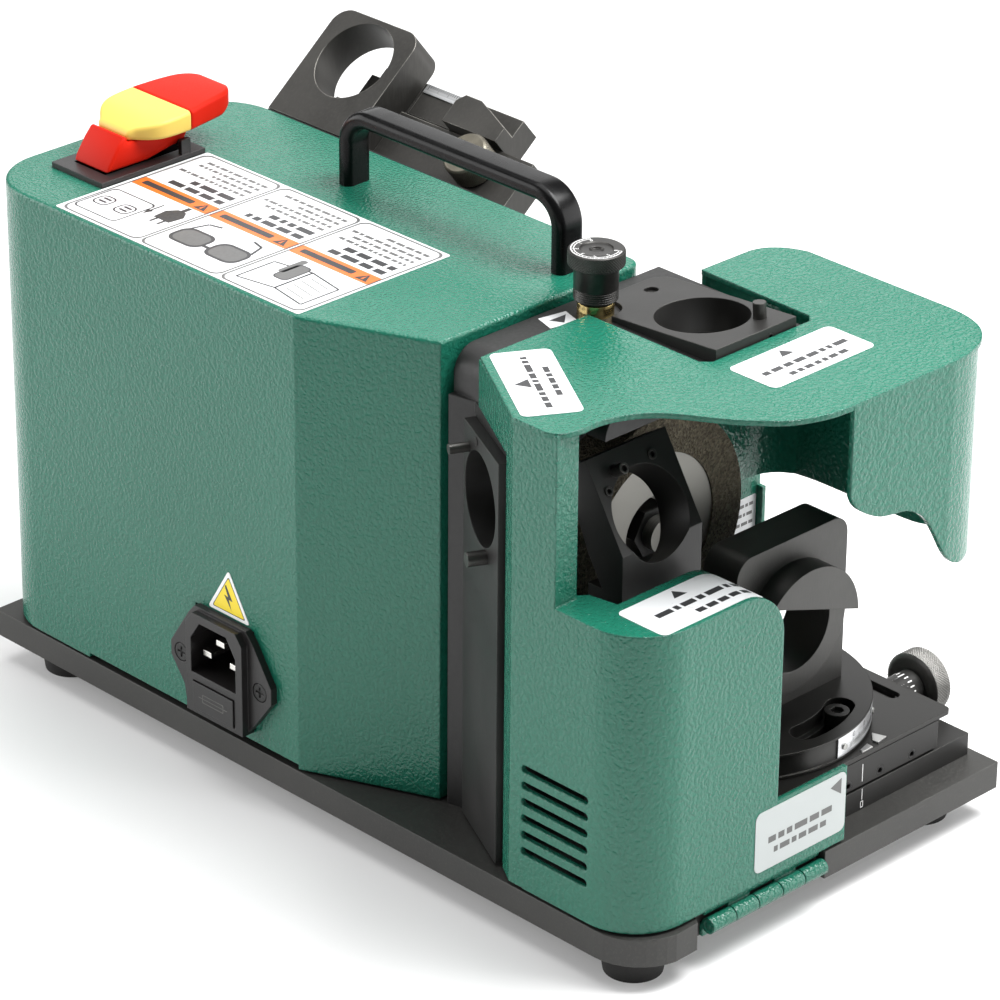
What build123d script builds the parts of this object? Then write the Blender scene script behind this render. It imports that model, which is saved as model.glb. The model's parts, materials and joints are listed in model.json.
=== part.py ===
from build123d import *
import os, math
os.makedirs("parts", exist_ok=True)

# ------------------------------------------------------------------
# Bench tool-and-cutter grinder (end mill re-sharpener), millimetres.
# Working frame while drawing: X to the operator's right, Y to the back,
# Z up; x=0 is the left face of the motor housing, y=0 its front face,
# z=0 its lower edge.  Every piece is moved by SHIFT when it is saved.
# ------------------------------------------------------------------
SHIFT = (-88.75, -43.5, 21.0)

# overall driving sizes
HW, HD, HH = 112.6, 208.3, 167.4        # motor housing
SHEET = 1.5                             # housing sheet thickness
CS = 1.8                                # cover sheet thickness
PLATE_TOP, PLATE_BOT = -1.0, -11.0      # base plate
FOOT_BOT, FOOT_R = -21.0, 11.5
COVER_TOP = 167.0
WX, WZ, WF = 73.1, 98.4, -46.0          # wheel axis, wheel front face
WHEEL_R, HUB_R, WHEEL_T = 40.8, 27.3, 14.0
SEAT_R = 15.75                          # bore of every collet seat
HX_Y, HX_Z, HX_R = -110.5, -6.0, 2.8    # cover hinge
TTX, TTY, TTR = 106.0, -50.0, 48.6      # turntable pivot and radius
TH_Y, TH_Z, TH_R = -71.7, 13.0, 11.65   # cross feed thimble
DX, DY = 76.9, -13.5                    # top dial
MOTOR_R = 33.5


def bx(x0, x1, y0, y1, z0, z1):
    return Pos((x0 + x1) / 2, (y0 + y1) / 2, (z0 + z1) / 2) * Box(x1 - x0, y1 - y0, z1 - z0)


def cy(p, d, r, l):
    return extrude(Plane(p, z_dir=d) * Circle(r), l)


def clean(pts):
    o = []
    for p in pts:
        if not o or math.dist(p, o[-1]) > 1e-4:
            o.append(p)
    if math.dist(o[0], o[-1]) < 1e-4:
        o.pop()
    return o


def pr(pts, d, l):
    return extrude(make_face(Polyline(*clean(pts), close=True)), l, dir=d)


def pz(pts, z0, z1):
    return pr([(x, y, z0) for x, y in pts], (0, 0, 1), z1 - z0)


def py(pts, y0, y1):
    return pr([(x, y0, z) for x, z in pts], (0, 1, 0), y1 - y0)


def px(pts, x0, x1):
    return pr([(x0, y, z) for y, z in pts], (1, 0, 0), x1 - x0)


def arc(cx, cz, r, a0, a1, n=8):
    return [(cx + r * math.cos(math.radians(a0 + (a1 - a0) * i / n)),
             cz + r * math.sin(math.radians(a0 + (a1 - a0) * i / n))) for i in range(n + 1)]


def crv(pts, n=4):
    # Catmull-Rom curve through the points, ends kept
    out = []
    for i in range(len(pts) - 1):
        p0, p1, p2, p3 = pts[max(i - 1, 0)], pts[i], pts[i + 1], pts[min(i + 2, len(pts) - 1)]
        for k in range(n):
            t = k / n
            out.append(tuple(0.5 * (2 * b + (c - a) * t + (2 * a - 5 * b + 4 * c - d) * t * t + (3 * b - a - 3 * c + d) * t ** 3)
                             for a, b, c, d in zip(p0, p1, p2, p3)))
    return out + [pts[-1]]


def rad(s, r, test):
    es = [e for e in s.edges() if test(e)]
    return fillet(es, r) if es else s


def vert(e):
    t = e.bounding_box()
    return t.size.Z > 1 and t.size.X < 0.01 and t.size.Y < 0.01


def solid_list(s):
    return list(s.solids())


PARTS = {}


def add(name, *shapes):
    out = []
    for s in shapes:
        out += solid_list(s)
    PARTS[name] = out


def cutall(name, tools):
    s = PARTS[name]
    o = []
    for b in s:
        for t in tools:
            b = b - t
        o += solid_list(b)
    PARTS[name] = o


# ------------------------------------------------------------ base plate
plate_pts = ([(0, 208)] + arc(20, -93, 20, 180, 262, 8)
             + [(27, -112.6), (31, -106.9), (89.2, -106.9), (89.2, -111.0), (176, -111.0), (176, -20),
                (150, 6), (112.6, 6), (112.6, 184), (108, 200), (100, 208)])
plate = pz(plate_pts, PLATE_BOT, PLATE_TOP)
FEET = [(16.5, -94.5), (16.5, 186), (96, 186), (158, -92)]
SCREWZ = []
for fx, fy in FEET:
    plate -= cy((fx, fy, PLATE_BOT - 1), (0, 0, 1), 2.5, 12)
add("base_plate", plate)
feet, fscr = [], []
for fx, fy in FEET:
    f = Pos(fx, fy, (FOOT_BOT + PLATE_BOT) / 2) * Cone(FOOT_R - 1.6, FOOT_R, PLATE_BOT - FOOT_BOT)
    f -= cy((fx, fy, FOOT_BOT - 1), (0, 0, 1), 5.2, 5.0)
    f -= cy((fx, fy, FOOT_BOT - 1), (0, 0, 1), 2.5, 20)
    feet.append(f)
    fscr.append(cy((fx, fy, FOOT_BOT + 1.0), (0, 0, 1), 4.4, 3.0) + cy((fx, fy, FOOT_BOT + 3.5), (0, 0, 1), 2.5, 15.5))
add("rubber_feet", *feet)
add("foot_screws", *fscr)

# ------------------------------------------------------------ motor housing
outer = ([(20.55, 0), (HW - 5, 0)] + arc(HW - 5, 5, 5, -90, 0, 8) + arc(HW - 24, HD - 24, 24, 0, 90, 20)
         + arc(24, HD - 24, 24, 90, 180, 20) + [(0, 46.9)])


def inset(pts, t):
    f = make_face(Polyline(*clean([(x, y, 0) for x, y in pts]), close=True))
    return offset(f, -t, kind=Kind.INTERSECTION)


inner = inset(outer, SHEET)
hs = pz(outer, 0, HH)
hs = rad(hs, 1.2, lambda e: abs(e.center().Z - HH) < 0.01)
hs -= extrude(Pos(0, 0, -1) * inner, HH - SHEET + 1)
hs -= bx(-1, 2, 68.6, 98.4, 6.0, 43.8)                    # mains inlet opening
hs -= bx(25.2, 66.4, 171.4, 192.4, HH - 3, HH + 1)        # switch opening
hs -= cy((WX, -1, WZ), (0, 1, 0), MOTOR_R + 2.5, 4)       # motor nose
hs -= bx(-1, 2, 47, 156, -1, 1.6)                         # gap above the plate
for y in (12.6, 115.0):
    hs -= cy((89.6, y, HH - 4), (0, 0, 1), 2.3, 6)
for y in (63.4, 103.4):
    hs -= cy((-1, y, 23.6), (1, 0, 0), 2.0, 4)
for y in (92, 170):
    hs -= cy((HW - 4, y, 141), (1, 0, 0), 2.3, 6)
add("motor_housing", hs)

# handle: flat bar bent into a U
hx0, hx1, ho, hi = 84.0, 95.3, 196.4, 190.4
hout = ([(9.6, HH), (9.6, ho - 14)] + arc(23.6, ho - 14, 14, 180, 90, 14) + arc(104.0, ho - 14, 14, 90, 0, 14) + [(118.0, HH)])
hin = ([(112.0, HH), (112.0, hi - 8)] + arc(104.0, hi - 8, 8, 0, 90, 14) + arc(23.6, hi - 8, 8, 90, 180, 14) + [(15.6, HH)])
hd = px(hout + hin, hx0, hx1)
for y in (12.6, 115.0):
    hd -= cy((89.6, y, HH - 1), (0, 0, 1), 2.0, 12)
add("handle", hd)
add("handle_screws", *[cy((89.6, y, HH - 5.5), (0, 0, 1), 4.0, 4.0) + cy((89.6, y, HH - 2), (0, 0, 1), 1.95, 12) for y in (12.6, 115.0)])

# ------------------------------------------------------------ switch
sw = bx(22.5, 69.0, 168.6, 195.2, HH, HH + 2.0) + bx(26, 65.6, 172.0, 191.8, HH - 26, HH + 2.0)
sw -= bx(28.2, 64, 173.6, 190.2, HH - 14, HH + 3)
for y in (170.2, 193.2):
    sw += bx(59.0, 63.0, y - 0.9, y + 0.9, HH, HH + 7.2)
SPX, SPZ, SMY = 61.0, 172.4, 181.9
sw += cy((SPX, 169.4, SPZ), (0, 1, 0), 1.25, 24.6)
add("switch_body", sw)
# rocker: a narrow base and a flap that flares over the bezel; the yellow key is the flap's left half
half = crv([(38.6, 7.6), (41.0, 9.2), (43.0, 11.6), (45.4, 13.8), (48.6, 15.4), (53.0, 16.1), (60.8, 16.0), (67.0, 15.0), (73.0, 14.0), (78.0, 12.9), (81.8, 11.0), (84.4, 8.4), (85.8, 5.0)], 3)
plan = [(x, SMY - w) for x, w in half] + [(x, SMY + w) for x, w in reversed(half)]
crown = crv([(38.0, 180.4), (40.2, 182.4), (44.0, 184.0), (50.0, 185.2), (60.8, 186.1), (70.0, 186.8), (80.0, 187.0), (84.8, 186.5), (86.6, 185.2)], 3)
flap = pz(plan, 178.7, 190.0) & py(crown + [(86.6, 181.4), (82.0, 179.0), (78.0, 178.7), (38.0, 178.7)], 160, 204)
base = py([(28.9, 169.9), (29.6, 171.8), (33.6, 177.6), (36.4, 180.8), (37.4, 180.7), (38.2, 178.6), (66.0, 178.6), (64.6, 175.0), (63.0, 172.0), (58.6, 172.0), (47.0, 169.8)], SMY - 9.1, SMY + 9.1)
base += cy((SPX, SMY - 9.1, SPZ), (0, 1, 0), 2.7, 18.2)
base += flap & bx(60.95, 90, 160, 204, 178, 190)
base += bx(62.0, 78.0, SMY - 7.0, SMY + 7.0, 178.0, 179.4)
base += bx(44.5, 49.5, 175.5, 187, 160, 171.0)
base -= cy((SPX, 168, SPZ), (0, 1, 0), 1.3, 28)
add("switch_paddle", base)
add("switch_key", (flap & bx(30, 60.75, 160, 204, 178, 190)) - bx(30, 62, 160, 204, 178, 178.9))

# ------------------------------------------------------------ mains inlet with fuse drawer
IX = -5.2
ib = px([(71, 4.2), (100.6, 4.2), (102, 12), (108.6, 21), (108.6, 26.5), (99, 41), (96, 44.4), (70, 44.4), (66.6, 40.6),
         (57.6, 27), (57.6, 21), (64.8, 11.5)], -2.6, -0.0)
ib += px([(69.4, 5.0), (98, 5.0), (98, 39), (94.5, 43.2), (72.5, 43.2), (69.4, 39.4)], IX, 0)
ib += bx(-0.2, 24, 69.2, 97.8, 8.8, 43.2)
sock = px([(72.6, 20.4), (95.4, 20.4), (95.4, 33.4), (90.8, 40.2), (77.2, 40.2), (72.6, 33.4)], IX - 1, 15)
ib -= sock
ib -= bx(IX - 1, 20, 73.4, 94.6, 6.6, 17.6)
for y in (63.4, 103.4):
    ib -= cy((-3.6, y, 23.6), (1, 0, 0), 1.8, 5)
    ib -= cy((-3.6, y, 23.6), (1, 0, 0), 3.5, 1.7)
add("inlet_body", ib)
add("inlet_pins", *[bx(-1.8, 22, y - 2, y + 2, z - 1, z + 1) for y, z in ((84, 33.8), (77.2, 27.4), (90.8, 27.4))])
add("inlet_screws", *[cy((-2.5, y, 23.6), (1, 0, 0), 3.2, 1.4) + cy((-1.2, y, 23.6), (1, 0, 0), 1.7, 8.0) - bx(-2.6, -1.9, y - 2, y + 2, 23.2, 24.0)
                        - bx(-2.6, -1.9, y - 0.4, y + 0.4, 21.6, 25.6) for y in (63.4, 103.4)])
dr = bx(IX - 0.5, 17.5, 73.8, 94.2, 7.0, 17.2)
dr -= bx(-1.5, 16, 75.4, 92.6, 9.0, 18)
cutall("inlet_body", PARTS["inlet_pins"] + PARTS["inlet_screws"])
add("fuse_drawer", dr)
add("fuses", *[cy((x, 76.6, 12.6), (0, 1, 0), 2.6, 15) for x in (3.2, 11.2)])

# ------------------------------------------------------------ head casting
ON = (-0.896, 0.444)          # outward normal of the oblique left side
OD = (-0.444, -0.896)         # along it, towards the front
A0, A1 = (19.9, -11.5), (4.1, -43.4)


def ob(p, a, b):
    return (p[0] + OD[0] * a + ON[0] * b, p[1] + OD[1] * a + ON[1] * b)


hc = bx(24.3, 124, -14, -2.2, PLATE_TOP, 149.6)
hc += bx(24.3, 118, -70, -2.2, 149.6, 164.7)
wall = [ob(A0, -1.0, -4), ob(A1, 0, -4), ob(A1, 0, -13), (24.3, -30), (30, -14), (30, -2.4), (21.8, -2.4)]
hc += pz(wall, PLATE_TOP, 149.6)
hc -= bx(24.3, 66, -71, -30, 149.0, 155.5)
hc = rad(hc, 9, lambda e: abs(e.center().X - 24.3) < 0.05 and abs(e.center().Z - 164.7) < 0.05)
lc = ob(((A0[0] + A1[0]) / 2, (A0[1] + A1[1]) / 2), 0, 0)
LSC = (12.3, -27.0, 124.3)
hc -= cy((LSC[0] + ON[0] * 6, LSC[1] + ON[1] * 6, LSC[2]), (-ON[0], -ON[1], 0), SEAT_R + 0.6, 34)
TT = math.radians(4.3)
TN = (0, math.sin(TT), math.cos(TT))
TSC = (94.6, -44.2, 168.2)
hc -= cy((TSC[0], TSC[1] - TN[1] * 30, TSC[2] - TN[2] * 30), TN, SEAT_R + 0.6, 40)
hc -= cy((WX, -15, WZ), (0, 1, 0), 13.0, 14)
hc -= cy((DX, DY, 150), (0, 0, 1), 4.0, 16)
for a in (45, 135, 225, 315):
    hc -= cy((WX + 28 * math.cos(math.radians(a)), -15, WZ + 28 * math.sin(math.radians(a))), (0, 1, 0), 2.5, 14)
add("head_casting", hc)

# three fixed collet seats
ls = pz([ob(A0, 0, 0), ob(A1, 0, 0), ob(A1, 0, -4), ob(A0, 0, -4)], 0.5, 145.0)
ls += pz([ob(A0, 0.6, -3), ob(A1, -0.6, -3), ob(A1, -0.6, -12), ob(A0, 0.6, -12)], 100.0, 145.0)
ls -= cy((LSC[0] + ON[0] * 6, LSC[1] + ON[1] * 6, LSC[2]), (-ON[0], -ON[1], 0), SEAT_R, 20)
add("left_seat", ls)
ts = px([(-68.9, 158.0), (-68, 170.0), (-8, 165.5), (-8.9, 153.5)], 75.6, 113.0)
ts = rad(ts, 7, lambda e: 11 < e.length < 13 and e.center().Y > -12)
ts -= cy((DX, DY, 140), (0, 0, 1), 8.6, 40)
ts -= cy((TSC[0], TSC[1] - TN[1] * 30, TSC[2] - TN[2] * 30), TN, SEAT_R, 40)
add("top_seat", ts)
FT = math.radians(32)
FN = (0, -math.cos(FT), math.sin(FT))
FSC = (44.6, -70.9, 124.6)
fb = px([(-76, PLATE_TOP), (-76, 116.4), (-58.7, 144.2), (-49.2, 138.2), (-61.0, 112.0), (-61.0, PLATE_TOP)], 27.0, 63.0)
fb -= cy((FSC[0], FSC[1] + FN[1] * 12, FSC[2] + FN[2] * 12), (0, -FN[1], -FN[2]), SEAT_R, 27.6)
# the back is relieved 15 mm behind the tilted face so that a seated holder stays clear of the wheel
fb -= px([(-57.65, 117.5), (-67.19, 102.23), (-48.0, 102.23), (-48.0, 117.5)], 20.0, 70.0)
add("front_seat", fb)


def off(p, n, t):
    return tuple(a + b * t for a, b in zip(p, n))


SU = (0, FN[2], -FN[1])       # up the tilted face of the front seat
pins, scr = [], []
pins.append(cy(off((36.7, -62.3, 138.5), FN, -6), FN, 1.9, 11.0) - cy(off((36.7, -62.3, 138.5), FN, 3.4), FN, 1.05, 3))
pins.append(cy(off((104.8, -59.8, 169.3), TN, -6), TN, 2.2, 11.5))
LNV = (ON[0], ON[1], 0)
pins.append(cy(off((17.5, -16.5, 137.4), LNV, -4), LNV, 1.7, 11.0))
pins.append(cy(off((9.6, -32.4, 106.6), LNV, -4), LNV, 2.5, 10.5))
add("seat_index_pins", *pins)
scr.append(cy(off((31.4, -65.0, 134.2), FN, -6), FN, 1.6, 6.4) - cy(off((31.4, -65.0, 134.2), FN, -1.2), FN, 0.85, 3))
scr.append(cy(off((53.6, -62.1, 138.8), FN, -6), FN, 1.8, 6.4) - cy(off((53.6, -62.1, 138.8), FN, -1.2), FN, 0.95, 3))
scr.append(cy(off((100.6, -15.6, 166.1), TN, -5), TN, 2.4, 3.8) - Plane(off((100.6, -15.6, 166.1), TN, -2.6), z_dir=TN) * extrude(RegularPolygon(1.3, 6), 3))
scr.append(cy(off((14.2, -23.2, 142.6), LNV, -3), LNV, 1.4, 3.4))
scr.append(cy((100.9, -68.2, 166.4), (0, 1, 0), 1.5, 3.0) - Plane((100.9, -68.3, 166.4), z_dir=(0, 1, 0)) * extrude(RegularPolygon(0.9, 6), 1.8))
add("seat_screws", *scr)

# cut the sockets the pins and screws stand in
cutall("front_seat", [cy(off((36.7, -62.3, 138.5), FN, -6), FN, 1.9, 12), cy(off((31.4, -65.0, 134.2), FN, -6), FN, 1.6, 9), cy(off((53.6, -62.1, 138.8), FN, -6), FN, 1.8, 9)])
cutall("top_seat", [pins[1], cy(off((100.6, -15.6, 166.1), TN, -5), TN, 2.45, 8), cy((100.9, -70.0, 166.4), (0, 1, 0), 1.5, 4.9)])
cutall("head_casting", [PARTS["top_seat"][0] + cy((TSC[0], TSC[1] - TN[1] * 14, TSC[2] - TN[2] * 14), TN, SEAT_R + 0.2, 16),
                        PARTS["left_seat"][0] + cy((LSC[0] - ON[0] * 14, LSC[1] - ON[1] * 14, LSC[2]), (ON[0], ON[1], 0), SEAT_R + 0.2, 14),
                        pins[1], pins[2], pins[3], scr[2]])
cutall("left_seat", [pins[2], pins[3], scr[3]])

# ------------------------------------------------------------ motor and spindle
can = cy((WX, -2.2, WZ), (0, 1, 0), MOTOR_R, 4.0) + cy((WX, 1.8, WZ), (0, 1, 0), MOTOR_R, 118)
can -= cy((WX, 1.8, WZ), (0, 1, 0), MOTOR_R - 2.2, 114)
can -= cy((WX, -3, WZ), (0, 1, 0), 13.0, 6)
can -= cy((WX, 114, WZ), (0, 1, 0), 9.0, 8)
for a in range(0, 360, 45):
    can -= cy((WX + 22 * math.cos(math.radians(a)), 112, WZ + 22 * math.sin(math.radians(a))), (0, 1, 0), 4.0, 12)
add("motor_casing", can)
st = cy((WX, 30, WZ), (0, 1, 0), MOTOR_R - 2.2, 50) - cy((WX, 29, WZ), (0, 1, 0), 19.5, 52)
rings = []
for y in (24, 80):
    rings.append(cy((WX, y, WZ), (0, 1, 0), 29, 6) - cy((WX, y - 1, WZ), (0, 1, 0), 20.5, 8))
add("motor_stator", st, *rings)
add("motor_rotor", cy((WX, 30, WZ), (0, 1, 0), 19.0, 50) - cy((WX, 29, WZ), (0, 1, 0), 6.0, 52))
shaft = cy((WX, -50, WZ), (0, 1, 0), 6.0, 172)
add("spindle_shaft", shaft)
brg = []
for y in (-13.0, 114.5):
    ro = 12.98 if y < 0 else 8.98
    b = cy((WX, y, WZ), (0, 1, 0), ro, 8 if y < 0 else 5) - cy((WX, y - 1, WZ), (0, 1, 0), 6.04, 12)
    brg.append(b)
add("spindle_bearings", *brg)
add("motor_mount_screws", *[cy((WX + 28 * math.cos(math.radians(a)), -17.4, WZ + 28 * math.sin(math.radians(a))), (0, 1, 0), 4.2, 3.4)
                           + cy((WX + 28 * math.cos(math.radians(a)), -15, WZ + 28 * math.sin(math.radians(a))), (0, 1, 0), 2.45, 13.6)
                           for a in (45, 135, 225, 315)])
cutall("motor_casing", [cy((WX + 28 * math.cos(math.radians(a)), -3, WZ + 28 * math.sin(math.radians(a))), (0, 1, 0), 2.45, 3.0)
                        for a in (45, 135, 225, 315)])

wh = cy((WX, WF, WZ), (0, 1, 0), WHEEL_R, WHEEL_T) - cy((WX, WF - 1, WZ), (0, 1, 0), HUB_R, WHEEL_T + 2)
add("wheel_abrasive", wh)
hub = cy((WX, WF + 0.6, WZ), (0, 1, 0), HUB_R, WHEEL_T - 0.6) + cy((WX, WF + WHEEL_T, WZ), (0, 1, 0), 11, 9)
hub -= cy((WX, WF - 1, WZ), (0, 1, 0), 6.0, 30)
hub -= cy((WX, WF - 1, WZ), (0, 1, 0), 13.0, 8.0)
add("wheel_hub", hub)
nut = cy((WX, WF - 3.0, WZ), (0, 1, 0), 9.4, 7.4)
nut = Pos(WX, WF + 3.4, WZ) * Rot(90, 0, 0) * extrude(RegularPolygon(9.6, 6), 3.3, both=True)
nut -= cy((WX, WF - 6, WZ), (0, 1, 0), 6.0, 16)
add("wheel_nut", nut)

# ------------------------------------------------------------ top dial
ring = cy((DX, DY, 164.7), (0, 0, 1), 6.1, 4.2) - cy((DX, DY, 164), (0, 0, 1), 3.05, 6)
add("dial_brass_ring", ring)
kn = cy((DX, DY, 181.8), (0, 0, 1), 9.5, 5.4)
kn += cy((DX, DY, 170.2), (0, 0, 1), 7.4, 12)
kn += Pos(DX, DY, 169.75) * Cone(6.2, 7.4, 0.9)
kn -= Pos(DX, DY, 187.6) * Cone(4.5, 8.2, 1.6)
kn = rad(kn, 0.5, lambda e: abs(e.center().Z - 181.8) < 0.01 and e.length > 50)
kn += cy((DX, DY, 152), (0, 0, 1), 3.0, 18.5)
add("dial_knob", kn)

# ------------------------------------------------------------ cover hinge
def tube(x0, x1, r0):
    return cy((x0, HX_Y, HX_Z), (1, 0, 0), HX_R, x1 - x0) - cy((x0 - 1, HX_Y, HX_Z), (1, 0, 0), r0, x1 - x0 + 2)


bl = bx(34, 88.4, -108.3, -106.9, -10.8, -6.0)
bl -= bx(44.5, 55.8, -114, -107.3, -9.6, 0)
bl -= bx(66.5, 77.8, -114, -107.3, -9.6, 0)
for a, b in ((34.0, 44.6), (55.7, 66.6), (77.7, 88.4)):
    bl += tube(a, b, 1.2)
bl -= cy((33, HX_Y, HX_Z), (1, 0, 0), 1.2, 57)
add("hinge_base_leaf", bl)
cl = bx(34, 88.4, -108.9, -107.6, -2.6, 12.0)
for a, b in ((45.0, 55.3), (67.0, 77.3)):
    cl += tube(a, b, 1.25) + bx(a, b, -108.9, -107.8, -6.0, 0.0)
cl -= cy((33, HX_Y, HX_Z), (1, 0, 0), 1.25, 57)
add("hinge_cover_leaf", cl)
add("hinge_pin", cy((34.0, HX_Y, HX_Z), (1, 0, 0), 1.2, 54.4))

# ------------------------------------------------------------ head cover
top_pts = [(22.4, -16.2), (70.2, -16.8), (70.2, -66), (73.2, -69), (118.5, -69), (121.5, -66), (122.6, -17.2)]
top_pts += crv([(145.5, -17.4), (151, -19.2), (156.2, -24.2), (159.2, -31)])
top_pts += crv([(159.2, -93.5), (158.0, -102), (154.5, -110), (148, -116.2), (139, -119.8), (130, -121.3)])
top_pts += crv([(83, -121.3), (72, -120.2), (62.2, -116.6), (57.0, -113.2), (52.4, -108.4), (48.9, -104.6), (45.0, -99.4), (39.4, -90.6), (35, -84.6),
                (29.5, -79.8), (23, -76.6), (16, -75.0), (8.6, -75.2), (3, -74.0), (0.2, -71.8), (-1.0, -68.5)])
top_pts += [(-1.0, -54.6)]
cv = pz(top_pts, COVER_TOP - CS, COVER_TOP)


def wallpath(pts, t, z0, z1, side=1):
    # strip of sheet following a plan polyline, thickness t to the given side
    n = len(pts)
    o = []
    for i, p in enumerate(pts):
        a = pts[max(i - 1, 0)]
        b = pts[min(i + 1, n - 1)]
        dx, dy = b[0] - a[0], b[1] - a[1]
        l = math.hypot(dx, dy)
        k = 1.0
        if 0 < i < n - 1:
            u = (p[0] - a[0], p[1] - a[1])
            w = (b[0] - p[0], b[1] - p[1])
            c = (u[0] * w[0] + u[1] * w[1]) / math.hypot(*u) / math.hypot(*w)
            k = 1.0 / math.sqrt(max(0.2, (1 + c) / 2))
        o.append((p[0] - dy / l * t * side * k, p[1] + dx / l * t * side * k))
    return pz(list(pts) + o[::-1], z0, z1)


# oblique upper wall, narrow strip below it, left wall, big rounded corner, front panel
cv += wallpath([(21.6, -16.4), (0.0, -54.0)], CS, 150.2, COVER_TOP - 0.5)
cv += wallpath([(4.4, -46.6), (0.0, -54.0), (0.0, -72.0)], CS, 0.4, COVER_TOP - 0.5)
front_run = [(0.0, -60.0), (0.0, -89.0)] + [(21.0 + 21.0 * math.cos(math.radians(a)), -89.8 + 21.0 * math.sin(math.radians(a)))
                                             for a in range(183, 271, 5)] + [(22.0, -110.8), (65.0, -110.8)]
cv += wallpath(front_run, CS, 0.2, 106.0)
cv += wallpath([(64.0, -110.8), (98.4, -110.8)], CS, 0.2, 28.0)
cv += bx(0.4, 9.6, -73.0, -71.2, 105, COVER_TOP - 0.5)
cv += bx(0.0, 2.0, -73.0, -70.0, 105, COVER_TOP - 0.5)
# roof of the lower bulge, rolled down at its right end
RR = 18.0
roof_out = [(0.0, 107.0), (47.0, 107.0)] + arc(47.0, 107.0 - RR, RR, 86, 0, 18) + [(65.0, 78.0)]
roof_in = [(65.0 - CS, 78.0)] + arc(47.0, 107.0 - RR, RR - CS, 0, 86, 18) + [(47.0, 107.0 - CS), (0.0, 107.0 - CS)]
roof = py(roof_out + roof_in, -110.8, -84.2)
roof += pz([(0.0, -70.4), (11.4, -71.2), (14.6, -73.6), (16.4, -84.3), (16.4, -86), (0, -86)], 107.0 - CS, 107.0)
keep = pz([(0.0, -69.0)] + front_run[1:-1] + [(66.0, -110.8), (66.0, -69.0)], 60, 110)
roof = roof & keep
cut_corner = py([(47.0, 107.0)] + arc(47.0, 107.0 - RR, RR, 90, 0, 20) + [(66.0, 89.0), (66.0, 109.0), (47.0, 109.0)], -112, -100)
cv -= cut_corner
cv += roof
# front right skirt and right wall
skirt_run = ([(82.0, -121.3), (130.0, -121.3)] + crv([(130.0, -121.3), (139.0, -119.6), (147.4, -115.6), (153.6, -109.4), (157.2, -101.6), (158.6, -93.5)])[1:]
             + [(158.9, -33.0)] + crv([(158.9, -31.0), (155.8, -23.8), (150.8, -18.8), (145.0, -17.2)])[0:] + [(122.9, -17.2)])
sk = wallpath(skirt_run, CS, 80.0, COVER_TOP - 0.5)
wave = ([(80, 168), (80, 139)] + crv([(81.0, 138), (83.4, 132.4), (87, 128.6), (92, 125.4), (97, 123.2), (103, 122), (109, 121), (114, 118.6),
        (118.6, 115), (122.4, 109.8), (125.6, 104.4), (129, 98.6), (132.6, 94.6), (137, 92.2), (141, 91.2), (146, 91.0), (151, 91.0)]) + [(164, 91.0), (164, 70), (70, 70), (70, 168)])
sk -= py(wave, -124, -100)
sk -= px(crv([(-104, 91.0), (-99, 90.6), (-92, 88.6), (-84, 87.0), (-70, 86.6), (-45, 86.4), (-34, 85.8), (-24, 84.6), (-17, 82.6), (-13, 81.0)], 3) + [(-13, 70), (-104, 70)], 140, 162)
cv += sk
cv += bx(141.0, 155.0, -17.2, -15.4, 50.0, 84.0)
cv += bx(153.4, 155.0, -19.9, -15.4, 50.0, 77.6)
# six ventilation slots low on the left side
for i in range(6):
    z = 44.6 - 6.05 * i
    cv -= bx(-2, 3, -87.6, -60.6, z - 1.45, z + 1.45) + cy((-2, -87.6, z), (1, 0, 0), 1.45, 5) + cy((-2, -60.6, z), (1, 0, 0), 1.45, 5)
add("head_cover", cv)

# ------------------------------------------------------------ cross slide with turntable
db = bx(80, 172.5, -100.4, -62.0, PLATE_TOP, 7.2)
DV0, DV1 = -95.0, -79.5
db += px([(DV0 + 2.7, 7.2), (DV1 - 2.7, 7.2), (DV1, 13.6), (DV0, 13.6)], 80, 155.2)
db -= cy((161.6, TH_Y, TH_Z), (1, 0, 0), 6.4, 14)
add("slide_base", db)
sl = bx(95, 156.4, -100.2, -62.6, 8.1, 18.3)
sl -= px([(DV0 + 2.7 - 2.6, 7.9), (DV1 - 2.0, 7.9), (DV1 + 0.6, 14.0), (DV0 - 2.8, 14.0)], 94, 157)
add("cross_slide", sl)
gib = px([(DV0 + 2.5 - 2.3, 8.3), (DV0 + 1.9, 8.3), (DV0 - 0.6, 13.9), (DV0 - 2.4, 13.9)], 95.4, 156.0)
add("slide_gib", gib)
gs = []
for x in (111.6, 127.4, 143.4):
    gs.append(cy((x, -100.2, 10.3), (0, 1, 0), 1.9, 6.4) - Pos(x, -100.2, 10.3) * Rot(90, 0, 0) * extrude(RegularPolygon(1.1, 6), 1.6, both=True))
cutall("cross_slide", [cy((x, -101, 10.3), (0, 1, 0), 1.9, 8.0) for x in (111.6, 127.4, 143.4)])
cutall("cross_slide", [PARTS["slide_gib"][0]])
gs2 = []
for g in gs:
    h = g - PARTS["slide_gib"][0]
    gs2 += [max(solid_list(h), key=lambda s: s.volume)]
add("gib_screws", *gs2)
sn = bx(96, 112, TH_Y - 5.0, TH_Y + 5.0, 9.2, 18.2) - cy((90, TH_Y, TH_Z), (1, 0, 0), 3.05, 30)
add("feed_nut", sn)
cutall("cross_slide", [bx(96, 112, TH_Y - 5.0, TH_Y + 5.0, 9.2, 18.4), cy((90, TH_Y, TH_Z), (1, 0, 0), 4.0, 80)])
pl = bx(76.4, 162.4, -100.6, -43.0, 18.9, 20.6) + bx(97, 154.6, -98, -63, 18.3, 18.9)
pl -= bx(152.8, 157.6, -80.6, -57.4, 17, 23)
pl -= cy((155.2, -57.4, 17), (0, 0, 1), 2.4, 6) + cy((155.2, -80.6, 17), (0, 0, 1), 2.4, 6)
pl = rad(pl, 2.0, lambda e: vert(e) and e.center().Z > 19.0 and abs(e.center().X - 119) > 40)
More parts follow.
